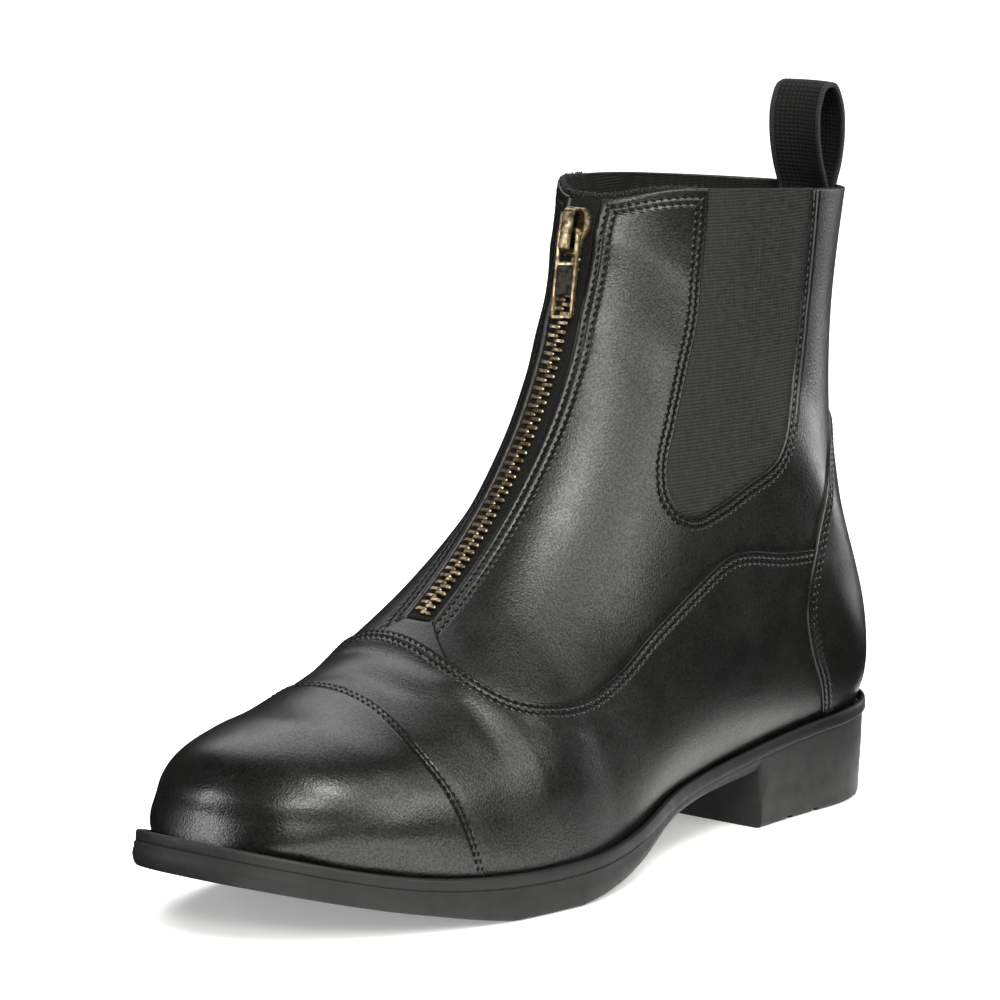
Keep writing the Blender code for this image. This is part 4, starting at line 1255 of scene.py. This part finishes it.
def stacked(frames):
    """Several sets of frames as one."""
    return [np.vstack(columns) for columns in zip(*frames)]


def frames_along(whole, panel, row, size, start, sink):
    """Frames along one row of a panel, at its distances from the panel's fields."""
    points, corners = whole
    fields = STITCHES[panel][0]
    value = np.min([sign * points[:, COLUMN[name]] - at for (name, sign), at in zip(fields, row)], axis=0)
    runs = rows_of_points(points, corners, value)
    return stacked([row_frames(run, panel, STITCHED[panel], size, start, sink) for run in runs])


def make_stitches(whole, looks):
    """Rows of stitches along the seams as one mesh, and the leather drawn up between the rows."""
    shape = grain_shape()
    threads = []
    for panel, (_, rows) in STITCHES.items():
        first, second = (np.array(row) for row in rows)
        threads += [frames_along(whole, panel, row, STITCH_SIZE, 0.5, STITCH_SINK) for row in (first, second)]
        if panel == "cap":
            continue
        between = 0.5 * (second - first)
        size = (PUCKER_LONG, PUCKER_WIDE * between.min(), PUCKER_HIGH)
        places = (first + between, second + PUCKER_PAST * between)
        raised = stacked([frames_along(whole, panel, row, size, 1.0, PUCKER_SINK) for row in places])
        add_mesh("look_puckers_" + panel, *instances(shape, raised), looks[panel], slot=PANEL_SLOT[panel])
    add_mesh("look_stitches", *instances(shape, stacked(threads)), looks["thread"], slot="upper_leather")


def make_lining(grid, looks):
    """Cloth inside the upper."""
    coarse = grid[::2, ::2]
    rows, across = coarse.shape[:2]
    index = np.arange(rows * across).reshape(rows, across)
    faces = np.column_stack([index[:-1, :-1].ravel(), index[1:, :-1].ravel(), index[1:, 1:].ravel(),
                             index[:-1, 1:].ravel()])
    out = grid_outward(coarse)
    out[0] = out[1]
    inside = (coarse - out * WALL).reshape(-1, 3)
    add_mesh("look_lining", inside[across:], faces[across - 1:] - across, looks["lining"], slot="sock_fabric")


def make_rim(whole, looks):
    """Rolled edge over the top of the collar: leather and elastic in turn, with a gap at the zip."""
    points, corners = whole
    loop = max(rows_of_points(points, corners, points[:, COLUMN["collar"]]), key=len)
    normal = unit(loop[:, 3:6])
    up = unit(UP - normal * normal[:, 2:])
    aside = np.abs(loop[:, 1] - ZIP_MIDDLE)
    in_gusset = loop[:, COLUMN["gusset"]] > 0
    start = -ELASTIC_DEPTH * in_gusset
    dipped = blend(loop[:, 0], *RIM_DIP_BACK) * (1 - blend(aside, COLLAR_DIP_TO - 6, COLLAR_DIP_TO + 4))
    end = -WALL + (WALL - TAPE_DEPTH - 0.1) * dipped
    count = len(loop)
    rings = []
    for turn in np.linspace(0, math.pi, RIM_STEPS):
        depth = start - (start - end) / 2 * (1 - math.cos(turn))
        rings.append(loop[:, :3] + normal * depth[:, None] + up * (math.sin(turn) * RIM_HIGH))
    placed = np.vstack(rings)
    around = np.array(ring_faces(RIM_STEPS, count))
    kinds = np.select([loop[:, COLUMN["slot"]] > 0, in_gusset], [2, 1], 0)
    owner = np.maximum(kinds, np.roll(kinds, -1))
    for kind, look, slot in ((0, "shaft", "upper_leather"), (1, "elastic", "elastic")):
        used, faces = part_of(around[np.tile(owner, RIM_STEPS - 1) == kind])
        fields = {"gusset": np.full(len(used), -NO_ROW), "zip": np.full(len(used), -NO_ROW),
                  "collar": np.zeros(len(used))}
        add_mesh("look_rim_" + look, placed[used], faces, looks[look], slot=slot, fields=fields)


def make_tape_end(grid, looks):
    """Top edge of the tape and of the cloth behind it, beside the zip."""
    top = grid[-1]
    out = unit(np.cross(np.gradient(top, axis=0), grid[-1] - grid[-2]))
    front = (top[:, 0] > TAPE_END_BACK) & (np.abs(top[:, 1] - ZIP_MIDDLE) < COLLAR_DIP_TO + 2)
    line, out = top[front], out[front]
    fade = 1 - blend(np.abs(line[:, 1:2] - ZIP_MIDDLE), COLLAR_DIP_TO - 12, COLLAR_DIP_TO + 1)
    rings = [line + out * depth + (0, 0, rise) * fade for depth, rise in TAPE_END_PROFILE]
    count = len(line)
    faces = [(r * count + k, r * count + k + 1, (r + 1) * count + k + 1, (r + 1) * count + k)
             for r in range(len(rings) - 1) for k in range(count - 1)]
    add_mesh("look_tape_end", np.vstack(rings), faces, looks["tape"], slot="zip_tape")
    make_fuzz(line, out, fade, looks)


def make_fuzz(line, out, fade, looks):
    """Loose fibres along the top edge of the tape."""
    chance = np.random.default_rng(7)
    pick = chance.integers(2, len(line) - 2, FUZZ_COUNT)
    lean = unit(chance.normal(0.0, 0.7, (FUZZ_COUNT, 3)) + 0.8 * UP)
    side = unit(np.cross(lean, (0.6, 0.8, 0.0)))
    long = chance.uniform(*FUZZ_LONG, (FUZZ_COUNT, 1))
    axes = np.stack([lean * long, side * FUZZ_THICK, np.cross(lean, side) * FUZZ_THICK], axis=1)
    roots = line[pick] - out[pick] * chance.uniform(1.0, 2.0, (FUZZ_COUNT, 1)) + 0.3 * UP * fade[pick]
    add_mesh("look_fuzz", *instances(grain_shape(), (roots, axes)), looks["fuzz"], slot="zip_tape")


# Sole

TOE_REACH = 1.3
TOE_RAISE = 1.2
TOE_SPRUNG = (222.0, 280.0)
SOLE_SHARP = 38.0
SOCK_INSET = 8.2
# Share of the width and lift of each ring of the sock.
SOCK_PROFILE = ((1.0, 0.4), (1.0, 2.6), (0.97, 3.1), (0.85, 3.0), (0.6, 2.8), (0.3, 2.8), (0.02, 2.8))


def sprung(points):
    """Points of the sole with its toe drawn out and up a little."""
    toe = blend(points[:, 0], *TOE_SPRUNG)[:, None]
    return points + toe * (TOE_REACH, 0.0, TOE_RAISE)


# Share of the height, lift, inset at the heel and at the forepart.
SOLE_PROFILE = ((0.0, 0.0, 4.4, 3.4), (0.0, 0.1, 3.2, 2.1), (0.0, 0.6, 2.4, 1.0), (0.0, 1.6, 2.0, 0.45),
                (0.25, 1.0, 1.7, 0.15), (0.5, 0.0, 1.3, 0.0), (0.75, -0.6, 1.05, 0.2),
                (1.0, -1.6, 0.9, 0.5), (1.0, -0.9, 0.9, 0.5), (1.0, -0.25, 1.0, 0.6), (1.0, 0.0, 1.4, 1.0))
# Lift, and share of the welt's depth.
WELT_PROFILE = ((-0.6, 0.6), (-0.5, 0.12), (-0.2, 0.0), (1.0, 0.0), (2.2, 0.03), (2.9, 0.10), (3.3, 0.28),
                (3.45, 0.55), (3.42, 0.95), (3.1, 1.15), (0.3, 1.1))


def sole_loop(count):
    """Stations round the sole with a pair at the step in front of the heel, and their loop."""
    x = stations(count)
    x = x[np.abs(x - BREAST_AT) > 1.5 * BREAST_RAKE]
    x = np.sort(np.concatenate([x, [BREAST_AT - BREAST_RAKE, BREAST_AT + BREAST_RAKE]]))[::-1]
    return outline_loop(x)


def ring_faces(rings, count, closed=False):
    """Faces of a skin over loops with the same number of points."""
    faces = []
    pairs = [(k, k + 1) for k in range(rings - 1)] + ([(rings - 1, 0)] if closed else [])
    for low, high in pairs:
        for k in range(count):
            after = (k + 1) % count
            faces.append((low * count + k, low * count + after, high * count + after, high * count + k))
    return faces


def block(low, high):
    """Points and faces of a block between two corners."""
    corners = [(x, y, z) for z in (low[2], high[2]) for y in (low[1], high[1]) for x in (low[0], high[0])]
    faces = [(0, 2, 3, 1), (4, 5, 7, 6), (0, 1, 5, 4), (2, 6, 7, 3), (0, 4, 6, 2), (1, 3, 7, 5)]
    return np.array(corners), faces


def groove_cutter():
    """All the grooves of the treads as one mesh object."""
    points = []
    faces = []
    for at in HEEL_GROOVES + FORE_GROOVES:
        reach = 80.0 if at < BREAST_AT else float(outline_half(np.array(at))) - FORE_RIM
        middle = float(smooth(SOLE_MIDDLES, at))
        floor = float(ground(np.array(at)))
        low = (at - GROOVE_WIDE / 2, middle - reach, floor - 8)
        high = (at + GROOVE_WIDE / 2, middle + reach, floor + GROOVE_DEEP)
        corners, sides = block(low, high)
        faces += [tuple(k + len(points) for k in side) for side in sides]
        points += list(corners)
    mesh = bpy.data.meshes.new("grooves")
    mesh.from_pydata(in_scene(points).tolist(), [], faces)
    return add_object("grooves", mesh)


def make_sole(looks):
    """Moulded rubber unit with its heel, treads and waist."""
    loop = sole_loop(170)
    count = len(loop)
    x = loop[:, 0]
    low = ground(x)
    rings = []
    for share, lift, heel_in, fore_in in SOLE_PROFILE:
        edge = drawn_in(loop, along_sole(x, heel_in, fore_in))
        rings.append(np.column_stack([edge, low + share * (bed(edge[:, 0]) - low) + lift]))
    faces = ring_faces(len(rings), count)
    last = (len(rings) - 1) * count
    for k in range(count // 2):
        corners = list(dict.fromkeys((k, k + 1, (count - k - 1) % count, (count - k) % count)))
        faces += [tuple(corners[::-1]), tuple(last + corner for corner in corners)]
    piece = add_mesh("look_outsole", sprung(np.vstack(rings)), faces, looks["sole"], slot="sole_rubber")
    work = bmesh.new()
    work.from_mesh(piece.data)
    bmesh.ops.recalc_face_normals(work, faces=work.faces)
    work.to_mesh(piece.data)
    work.free()
    cutter = groove_cutter()
    step = piece.modifiers.new("grooves", "BOOLEAN")
    step.operation = "DIFFERENCE"
    step.solver = "EXACT"
    step.object = cutter
    shape = bpy.data.meshes.new_from_object(piece.evaluated_get(bpy.context.evaluated_depsgraph_get()))
    piece.modifiers.clear()
    piece.data = shape
    shape.materials.clear()
    shape.materials.append(looks["sole"])
    shape.shade_smooth()
    shape.set_sharp_from_angle(angle=math.radians(SOLE_SHARP))
    bpy.data.objects.remove(cutter)


def make_welt(looks):
    """Rubber strip round the edge of the sole, with a fine line along it."""
    loop = outline_loop(stations(200))
    x = loop[:, 0]
    rim = along_sole(x, WELT_HEEL_IN, WELT_FORE_IN)
    deep = along_sole(x, WELT_HEEL_DEEP, WELT_FORE_DEEP)
    rings = []
    for lift, share in WELT_PROFILE:
        edge = drawn_in(loop, rim + share * deep)
        rings.append(np.column_stack([edge, bed(edge[:, 0]) + lift]))
    faces = ring_faces(len(rings), len(loop), True)
    add_mesh("look_welt", sprung(np.vstack(rings)), faces, looks["welt"], slot="welt_rubber")


def make_sock(looks):
    """Sock on the insole, a little dished."""
    loop = outline_loop(stations(90, SOCK_INSET), SOCK_INSET)
    middle = np.column_stack([loop[:, 0], smooth(SOLE_MIDDLES, loop[:, 0])])
    rings = []
    for share, lift in SOCK_PROFILE:
        edge = middle + (loop - middle) * (1, share)
        rings.append(np.column_stack([edge, bed(edge[:, 0]) + lift]))
    faces = ring_faces(len(rings), len(loop))
    add_mesh("look_sock", np.vstack(rings), faces, looks["sock"], slot="sock_fabric")


# Zip

def ridge_line():
    """Points up the ridge of the upper, and the length up to each."""
    rows = np.linspace(4, len(SECTIONS) - 1, 3000)
    x = smooth(column("top_x"), rows)
    points = np.column_stack([x, np.full_like(x, ZIP_MIDDLE), smooth(column("top_z"), rows)])
    return points, run_length(points)


RIDGE, RIDGE_LENGTH = ridge_line()


def ridge_frames(at):
    """Points on the ridge at lengths along it, and the directions up the zip and out of it."""
    at = np.atleast_1d(at)
    middle = resampled(at, RIDGE_LENGTH, RIDGE)
    up = unit(resampled(at + 1, RIDGE_LENGTH, RIDGE) - resampled(at - 1, RIDGE_LENGTH, RIDGE))
    out = np.column_stack([up[:, 2], np.zeros(len(at)), -up[:, 0]])
    return middle, up, out


def length_at(height):
    """Length along the ridge at a height."""
    return float(np.interp(height, RIDGE[:, 2], RIDGE_LENGTH))


def ringed(rings):
    """Closed skin over rings: its points, the faces round it and its two end faces."""
    count = len(rings[0])
    last = (len(rings) - 1) * count
    caps = [tuple(range(count))[::-1], tuple(range(last, last + count))]
    return np.vstack(rings), ring_faces(len(rings), count), caps


# Half length along the zip, low, high and place across the zip of each ring of a tooth.
TOOTH_RINGS = ((0.30, -0.45, 0.15, -0.75), (0.52, -0.6, 0.42, -0.35), (0.60, -0.7, 0.60, 0.5),
               (0.52, -0.7, 0.62, 1.4), (0.62, -0.7, 0.60, 2.3), (0.55, -0.6, 0.42, 2.95),
               (0.32, -0.4, 0.05, 3.2))
TOOTH_CORNER = 0.3
METAL_SHARP = 40.0


def soft_box_ring(half_u, low_w, high_w, v):
    """Ring of a tooth: an oblong with cut corners at a place across the zip."""
    flat = half_u - TOOTH_CORNER * half_u
    cut_w = TOOTH_CORNER * (high_w - low_w) / 2
    low, high = low_w + cut_w, high_w - cut_w
    loop = ((-half_u, low), (-flat, low_w), (flat, low_w), (half_u, low), (half_u, high), (flat, high_w),
            (-flat, high_w), (-half_u, high))
    return np.array([(u, v, w) for u, w in loop])


def tooth_shape():
    """One tooth in triangles, with its head past the middle of the chain."""
    points, quads, caps = ringed([soft_box_ring(*row) for row in TOOTH_RINGS])
    faces = [(face[0], face[k], face[k + 1]) for face in quads + caps for k in range(1, len(face) - 1)]
    return points, np.array(faces)


def make_teeth(looks):
    """Two rows of brass teeth that close into each other, up to the slider."""
    foot = length_at(CHAIN_FOOT)
    head = length_at(SLIDER_AT) - CHAIN_UNDER_SLIDER
    origins = []
    axes = []
    for side, start in ((1, 0.0), (-1, TOOTH_PITCH / 2)):
        at = np.arange(foot + start, head, TOOTH_PITCH)
        middle, up, out = ridge_frames(at)
        across = np.tile((0.0, float(side), 0.0), (len(at), 1))
        origins.append(middle)
        axes.append(np.stack([up * side, across, out], axis=1))
    shape = instances(tooth_shape(), (np.vstack(origins), np.vstack(axes)))
    add_mesh("look_teeth", *shape, looks["teeth"], slot="zip_brass", sharp=METAL_SHARP)


def make_foot_bar(looks):
    """Folded end of the tape across the foot of the zip."""
    middle, up, out = (axis[0] for axis in ridge_frames(length_at(SLOT_FOOT + 0.7)))
    rings = []
    for share in np.linspace(-1, 1, 13):
        across = share * (SLOT_FOOT_HALF - 0.2)
        drop = TAPE_DEPTH + 0.018 * across * across
        size = 1.0 - 0.5 * abs(share) ** 6
        turns = np.linspace(0, 2 * math.pi, 13)[:-1]
        rings.append(np.array([middle + (0, across, 0) + up * 0.75 * size * math.cos(turn)
                               + out * (0.5 * size * math.sin(turn) + 0.35 - drop) for turn in turns]))
    points, quads, caps = ringed(rings)
    add_mesh("look_foot_bar", points, quads + caps, looks["webbing"], slot="zip_tape")


def in_frame(points, frame_of):
    """Local points (up the zip, across it, out of it) as places."""
    middle, up, out = frame_of
    across = np.cross(out, up)
    return middle + points[:, :1] * up + points[:, 1:2] * across + points[:, 2:] * out


def cut_back(here, other, radius):
    """Place where the rounding of a corner starts on the way to another, half way at most."""
    away = np.linalg.norm(other - here)
    return here + (other - here) / away * min(radius, away / 2)


def rounded_outline(corners, radius, steps=4):
    """A closed outline with its corners rounded."""
    corners = np.array(corners, float)
    result = []
    for before, here, after in zip(np.roll(corners, 1, axis=0), corners, np.roll(corners, -1, axis=0)):
        start, end = cut_back(here, before, radius), cut_back(here, after, radius)
        for t in np.linspace(0, 1, steps):
            result.append((1 - t) ** 2 * start + 2 * t * (1 - t) * here + t * t * end)
    return np.array(result)


def oblong(start, end, half, radius):
    """Outline of an oblong with rounded corners, along the pull tab."""
    return rounded_outline(((start, -half), (start, half), (end, half), (end, -half)), radius)


def inward(outline, by):
    """A closed outline moved inwards, whichever way round it runs."""
    along = unit(np.roll(outline, -1, axis=0) - np.roll(outline, 1, axis=0))
    u, v = outline.T
    turn = np.sign(np.sum(u * np.roll(v, -1) - v * np.roll(u, -1)))
    return outline + turn * by * np.column_stack([-along[:, 1], along[:, 0]])


def plate(outline, steps):
    """Solid from an outline drawn in at each of the steps (inset, height), with capped ends."""
    rings = []
    for inset, height in steps:
        edge = inward(outline, inset)
        rings.append(np.column_stack([edge, np.full(len(edge), height)]))
    points, quads, caps = ringed(rings)
    return points, quads + caps


def joined(shapes):
    """Several shapes as one."""
    points = []
    faces = []
    count = 0
    for shape_points, shape_faces in shapes:
        faces += [[k + count for k in face] for face in shape_faces]
        points.append(shape_points)
        count += len(shape_points)
    return np.vstack(points), faces


def strap(route, half, thick):
    """Band of metal along a route (u, w), with rounded edges."""
    along = unit(np.gradient(route, axis=0))
    out = np.column_stack([-along[:, 1], along[:, 0]])
    rise = thick / 2
    section = rounded_outline(((-half, -rise), (half, -rise), (half, rise), (-half, rise)), 0.3, 3)
    rings = []
    for (u, w), (out_u, out_w) in zip(route, out):
        rings.append(np.array([(u + out_u * rise, across, w + out_w * rise) for across, rise in section]))
    points, quads, caps = ringed(rings)
    return points, quads + caps


# Half outline of the slider (up the zip, across it), its edge (inset, height) and its bridge.
SLIDER_HALF = ((-6.8, 3.5), (-2.2, 3.9), (0.4, 5.3), (4.8, 5.3), (7.2, 3.4))
SLIDER_PROFILE = ((0.5, -0.8), (0.15, -0.5), (0.0, 0.2), (0.0, 1.25), (0.35, 1.75), (0.9, 1.8), (1.15, 1.5),
                  (1.9, 1.45))
BRIDGE_ROUTE = ((6.3, 1.0), (6.1, 4.2), (-5.8, 4.2), (-6.0, 1.0))
BRIDGE_HALF = 1.95
BRIDGE_THICK = 0.9


def slider_frame(rise=0.0):
    """Frame of the slider, raised off the ridge."""
    middle, up, out = ridge_frames(length_at(SLIDER_AT))
    return middle[0] + out[0] * rise, up[0], out[0]


def make_slider(looks):
    """Slider body with its raised rim, and the bridge that holds the pull tab."""
    outline = rounded_outline(SLIDER_HALF + tuple((u, -v) for u, v in reversed(SLIDER_HALF)), 0.5)
    body = plate(outline, SLIDER_PROFILE)
    over = rounded_outline(BRIDGE_ROUTE, 0.9, 5)
    start = int(np.argmax(over[:, 0] - over[:, 1]))
    bridge = strap(np.roll(over, -start, axis=0), BRIDGE_HALF, BRIDGE_THICK)
    points, faces = joined((body, bridge))
    add_mesh("look_slider", in_frame(points, slider_frame()), faces, looks["slider"], slot="slider_brass",
             sharp=METAL_SHARP)


def frame_plate(outline, holes, thick, chamfer=0.18):
    """Flat plate with holes, all with chamfered edges."""
    mesh = bpy.data.meshes.new("plate")
    work = bmesh.new()
    for loop in (outline, *holes):
        corners = [work.verts.new((u, v, 0.0)) for u, v in loop]
        for start, end in zip(corners, corners[1:] + corners[:1]):
            work.edges.new((start, end))
    bmesh.ops.triangle_fill(work, use_beauty=True, edges=work.edges[:], normal=(0, 0, 1))
    thick_faces = bmesh.ops.extrude_face_region(work, geom=work.faces[:])
    moved = [item for item in thick_faces["geom"] if isinstance(item, bmesh.types.BMVert)]
    bmesh.ops.translate(work, verts=moved, vec=(0, 0, thick))
    bmesh.ops.translate(work, verts=work.verts[:], vec=(0, 0, -thick / 2))
    bmesh.ops.recalc_face_normals(work, faces=work.faces)
    rim = [edge for edge in work.edges if len(edge.link_faces) == 2 and edge.calc_face_angle() > 1.0
           and abs(edge.verts[0].co.z - edge.verts[1].co.z) < 1e-6]
    bmesh.ops.bevel(work, geom=rim, offset=chamfer, segments=2, affect="EDGES", profile=0.6)
    work.to_mesh(mesh)
    work.free()
    points = np.array([vertex.co[:] for vertex in mesh.vertices])
    faces = [list(face.vertices) for face in mesh.polygons]
    bpy.data.meshes.remove(mesh)
    return points, faces


# Pull tab: places along it from its hinge.
PULL_HEAD = 0.7
PULL_EYE_START = -0.5
PULL_TAIL = -25.8
PULL_WIDE_HALF = 4.0
PULL_EYE_END = -9.2
PULL_PLATE_END = -18.8
PULL_BAR = 1.0
PULL_THICK = 1.2
PULL_SHARP = 35.0


def pull_frame():
    """Frame of the pull tab: it hangs from the bridge, a little lifted."""
    middle, up, out = slider_frame(SLIDER_TOP + BRIDGE_WINDOW / 2)
    lift = math.radians(PULL_REST_LIFT)
    sway = math.radians(PULL_SWAY)
    raised = up * math.cos(lift) - out * math.sin(lift)
    facing = out * math.cos(lift) + up * math.sin(lift)
    return middle, raised * math.cos(sway) + np.cross(facing, raised) * math.sin(sway), facing


def make_pull(looks):
    """Pull tab: a flat frame with an eye, a sunk plate and an open window at its end."""
    wide = PULL_WIDE_HALF
    inner = wide - PULL_BAR
    outer = oblong(PULL_HEAD, PULL_TAIL, wide, 0.9)
    eye = oblong(PULL_EYE_START, PULL_EYE_END, inner - 0.3, 1.4)
    window = oblong(PULL_EYE_END - PULL_BAR, PULL_TAIL + PULL_BAR, inner, 0.5)
    points, faces = frame_plate(outer, (eye, window), PULL_THICK)
    place = pull_frame()
    add_mesh("look_pull", in_frame(points, place), faces, looks["pull"], body="zip_pull", slot="pull_brass",
             sharp=PULL_SHARP)
    sunk = oblong(PULL_EYE_END - 0.8, PULL_PLATE_END, inner + 0.2, 0.3)
    points, faces = plate(sunk, ((0.0, -0.35), (0.0, 0.2), (0.1, 0.28)))
    add_mesh("look_pull_plate", in_frame(points, place), faces, looks["panel"], body="zip_pull",
             slot="pull_brass", sharp=PULL_SHARP)


def make_loop(looks):
    """Webbing loop at the back of the collar, with a bound edge on each side."""
    line = seam_curve(LOOP_ROUTE, 9)
    along = unit(np.gradient(line, axis=0))
    out = np.column_stack([-along[:, 1], along[:, 0]])
    half = LOOP_WIDE / 2
    top = [(across, LOOP_THICK / 2) for across in np.linspace(-half + 0.6, half - 0.6, 33)]
    side = [(half - 0.15, 0.5), (half, 0.0), (half - 0.15, -0.5)]
    section = np.array(top + side + [(-a, -r) for a, r in top + side])
    across, rise = section.T
    bow = across ** 2 / (2 * LOOP_BOW)
    rings = [np.column_stack([x + rise * out_x + bow, LOOP_MIDDLE + across, z + rise * out_z])
             for (x, z), (out_x, out_z) in zip(line, out)]
    faces = np.array(ring_faces(len(rings), len(section)))
    points = np.vstack(rings) + LOOP_MOVE
    aside = np.tile(np.abs(across), len(rings))
    in_edge = aside[faces].mean(axis=1) >= half - LOOP_EDGE
    for name, mine, look in (("look_loop", ~in_edge, "webbing"), ("look_loop_edges", in_edge, "binding")):
        used, part = part_of(faces[mine])
        add_mesh(name, points[used], part, looks[look], slot="webbing")


# Stage

def aim_at(holder, place, aim):
    """Stand a lamp or a camera at a place and aim it at a point, both in millimetres."""
    start, end = Vector(in_scene(place)), Vector(in_scene(aim))
    holder.location = start
    holder.rotation_euler = (end - start).to_track_quat("-Z", "Y").to_euler()


def add_light(name, place, aim, size, power, colour=WHITE):
    """Soft lamp at a place, aimed at a point, both in millimetres."""
    lamp = bpy.data.lights.new(name, "AREA")
    lamp.shape = "RECTANGLE"
    lamp.size, lamp.size_y = size[0] * MM, size[1] * MM
    lamp.energy = power
    lamp.color = colour
    holder = add_object(name, lamp)
    aim_at(holder, place, aim)
    return holder


def add_softbox(name, turn, rise, away, size, power, colour):
    """Soft lamp at a turn from +X towards +Y and a rise over the floor, aimed at the boot."""
    turn, rise = math.radians(turn), math.radians(rise)
    way = np.array([math.cos(turn) * math.cos(rise), math.sin(turn) * math.cos(rise), math.sin(rise)])
    add_light(name, np.array(LAMP_AIM) + way * away, LAMP_AIM, size, power, colour)


def make_world():
    """Dim even surroundings."""
    world = bpy.data.worlds.new("studio")
    bpy.context.scene.world = world
    world.use_nodes = True
    back = world.node_tree.nodes["Background"]
    back.inputs["Color"].default_value = (1.0, 1.0, 1.0, 1.0)
    back.inputs["Strength"].default_value = WORLD_GLOW


def make_floor():
    """Pale floor that glows a little, painted light that pales the boot's shadow on it: a table top round the
    boot, and the floor beyond it that stays out of the gloss.
    """
    look = Shader("floor", (0.92, 0.92, 0.92), 0.6)
    look.link(look.tint(look.noise(3.0), (0.90, 0.90, 0.90), (0.94, 0.94, 0.94)), "Base Color")
    # The floor's glow is painted light that pales the boot's shadow on it.
    look.set("Emission Color", (1.0, 1.0, 1.0, 1.0))
    look.set("Emission Strength", FLOOR_GLOW)
    material = look.done()
    corners = [(x, y, 0.0) for x, y in TABLE_CORNERS + FLOOR_CORNERS]
    ring = [(k, (k + 1) % 4, 4 + (k + 1) % 4, 4 + k) for k in range(4)]
    for name, faces, seen in (("table", [(0, 1, 2, 3)], True), ("floor", ring, False)):
        mesh = bpy.data.meshes.new(name)
        mesh.from_pydata(corners, [], faces)
        mesh.materials.append(material)
        floor = add_object(name, mesh)
        floor.visible_glossy = seen


def make_stage():
    """Floor, dim surroundings, lamps and the camera of the photo."""
    make_floor()
    make_world()
    for row in LAMPS:
        add_softbox(*row)
    overhead = add_light("overhead", OVERHEAD_AT + (OVERHEAD_HIGH,), OVERHEAD_AT + (0,), OVERHEAD_SIZE, 640.0)
    overhead.visible_glossy = False
    bpy.context.scene.view_settings.view_transform = "Standard"
    lens = bpy.data.cameras.new("camera")
    lens.lens = CAMERA_LENS
    lens.sensor_width = CAMERA_SENSOR
    camera = add_object("camera", lens)
    turn = math.radians(CAMERA_TURN)
    aim_at(camera, (CAMERA_AIM[0] + CAMERA_AWAY * math.cos(turn), CAMERA_AWAY * math.sin(turn), CAMERA_HIGH),
           CAMERA_AIM)
    bpy.context.scene.camera = camera


REPLACED = (("look_shaft", ("upper",)), ("look_cap", ("toe_cap",)), ("look_vamp", ("vamp",)),
            ("look_counter", ("heel_counter",)), ("look_gusset", ("gusset_lateral", "gusset_medial")),
            ("look_tape", ("zip_tape",)), ("look_teeth", ("zip_chain",)), ("look_slider", ("zip_slider",)),
            ("look_pull", ("zip_pull",)), ("look_loop", ("pull_loop",)), ("look_outsole", ("outsole",)),
            ("look_welt", ("welt",)), ("look_sock", ("insole",)))


def main():
    """All the pieces, what they replace and the stage."""
    looks = make_materials()
    whole, skin, grid = make_skin()
    make_panels(skin, looks)
    make_stitches(whole, looks)
    make_lining(grid, looks)
    make_rim(whole, looks)
    make_tape_end(grid, looks)
    make_sole(looks)
    make_welt(looks)
    make_sock(looks)
    make_teeth(looks)
    make_foot_bar(looks)
    make_slider(looks)
    make_pull(looks)
    make_loop(looks)
    for name, nodes in REPLACED:
        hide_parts(*nodes)
    make_stage()


main()
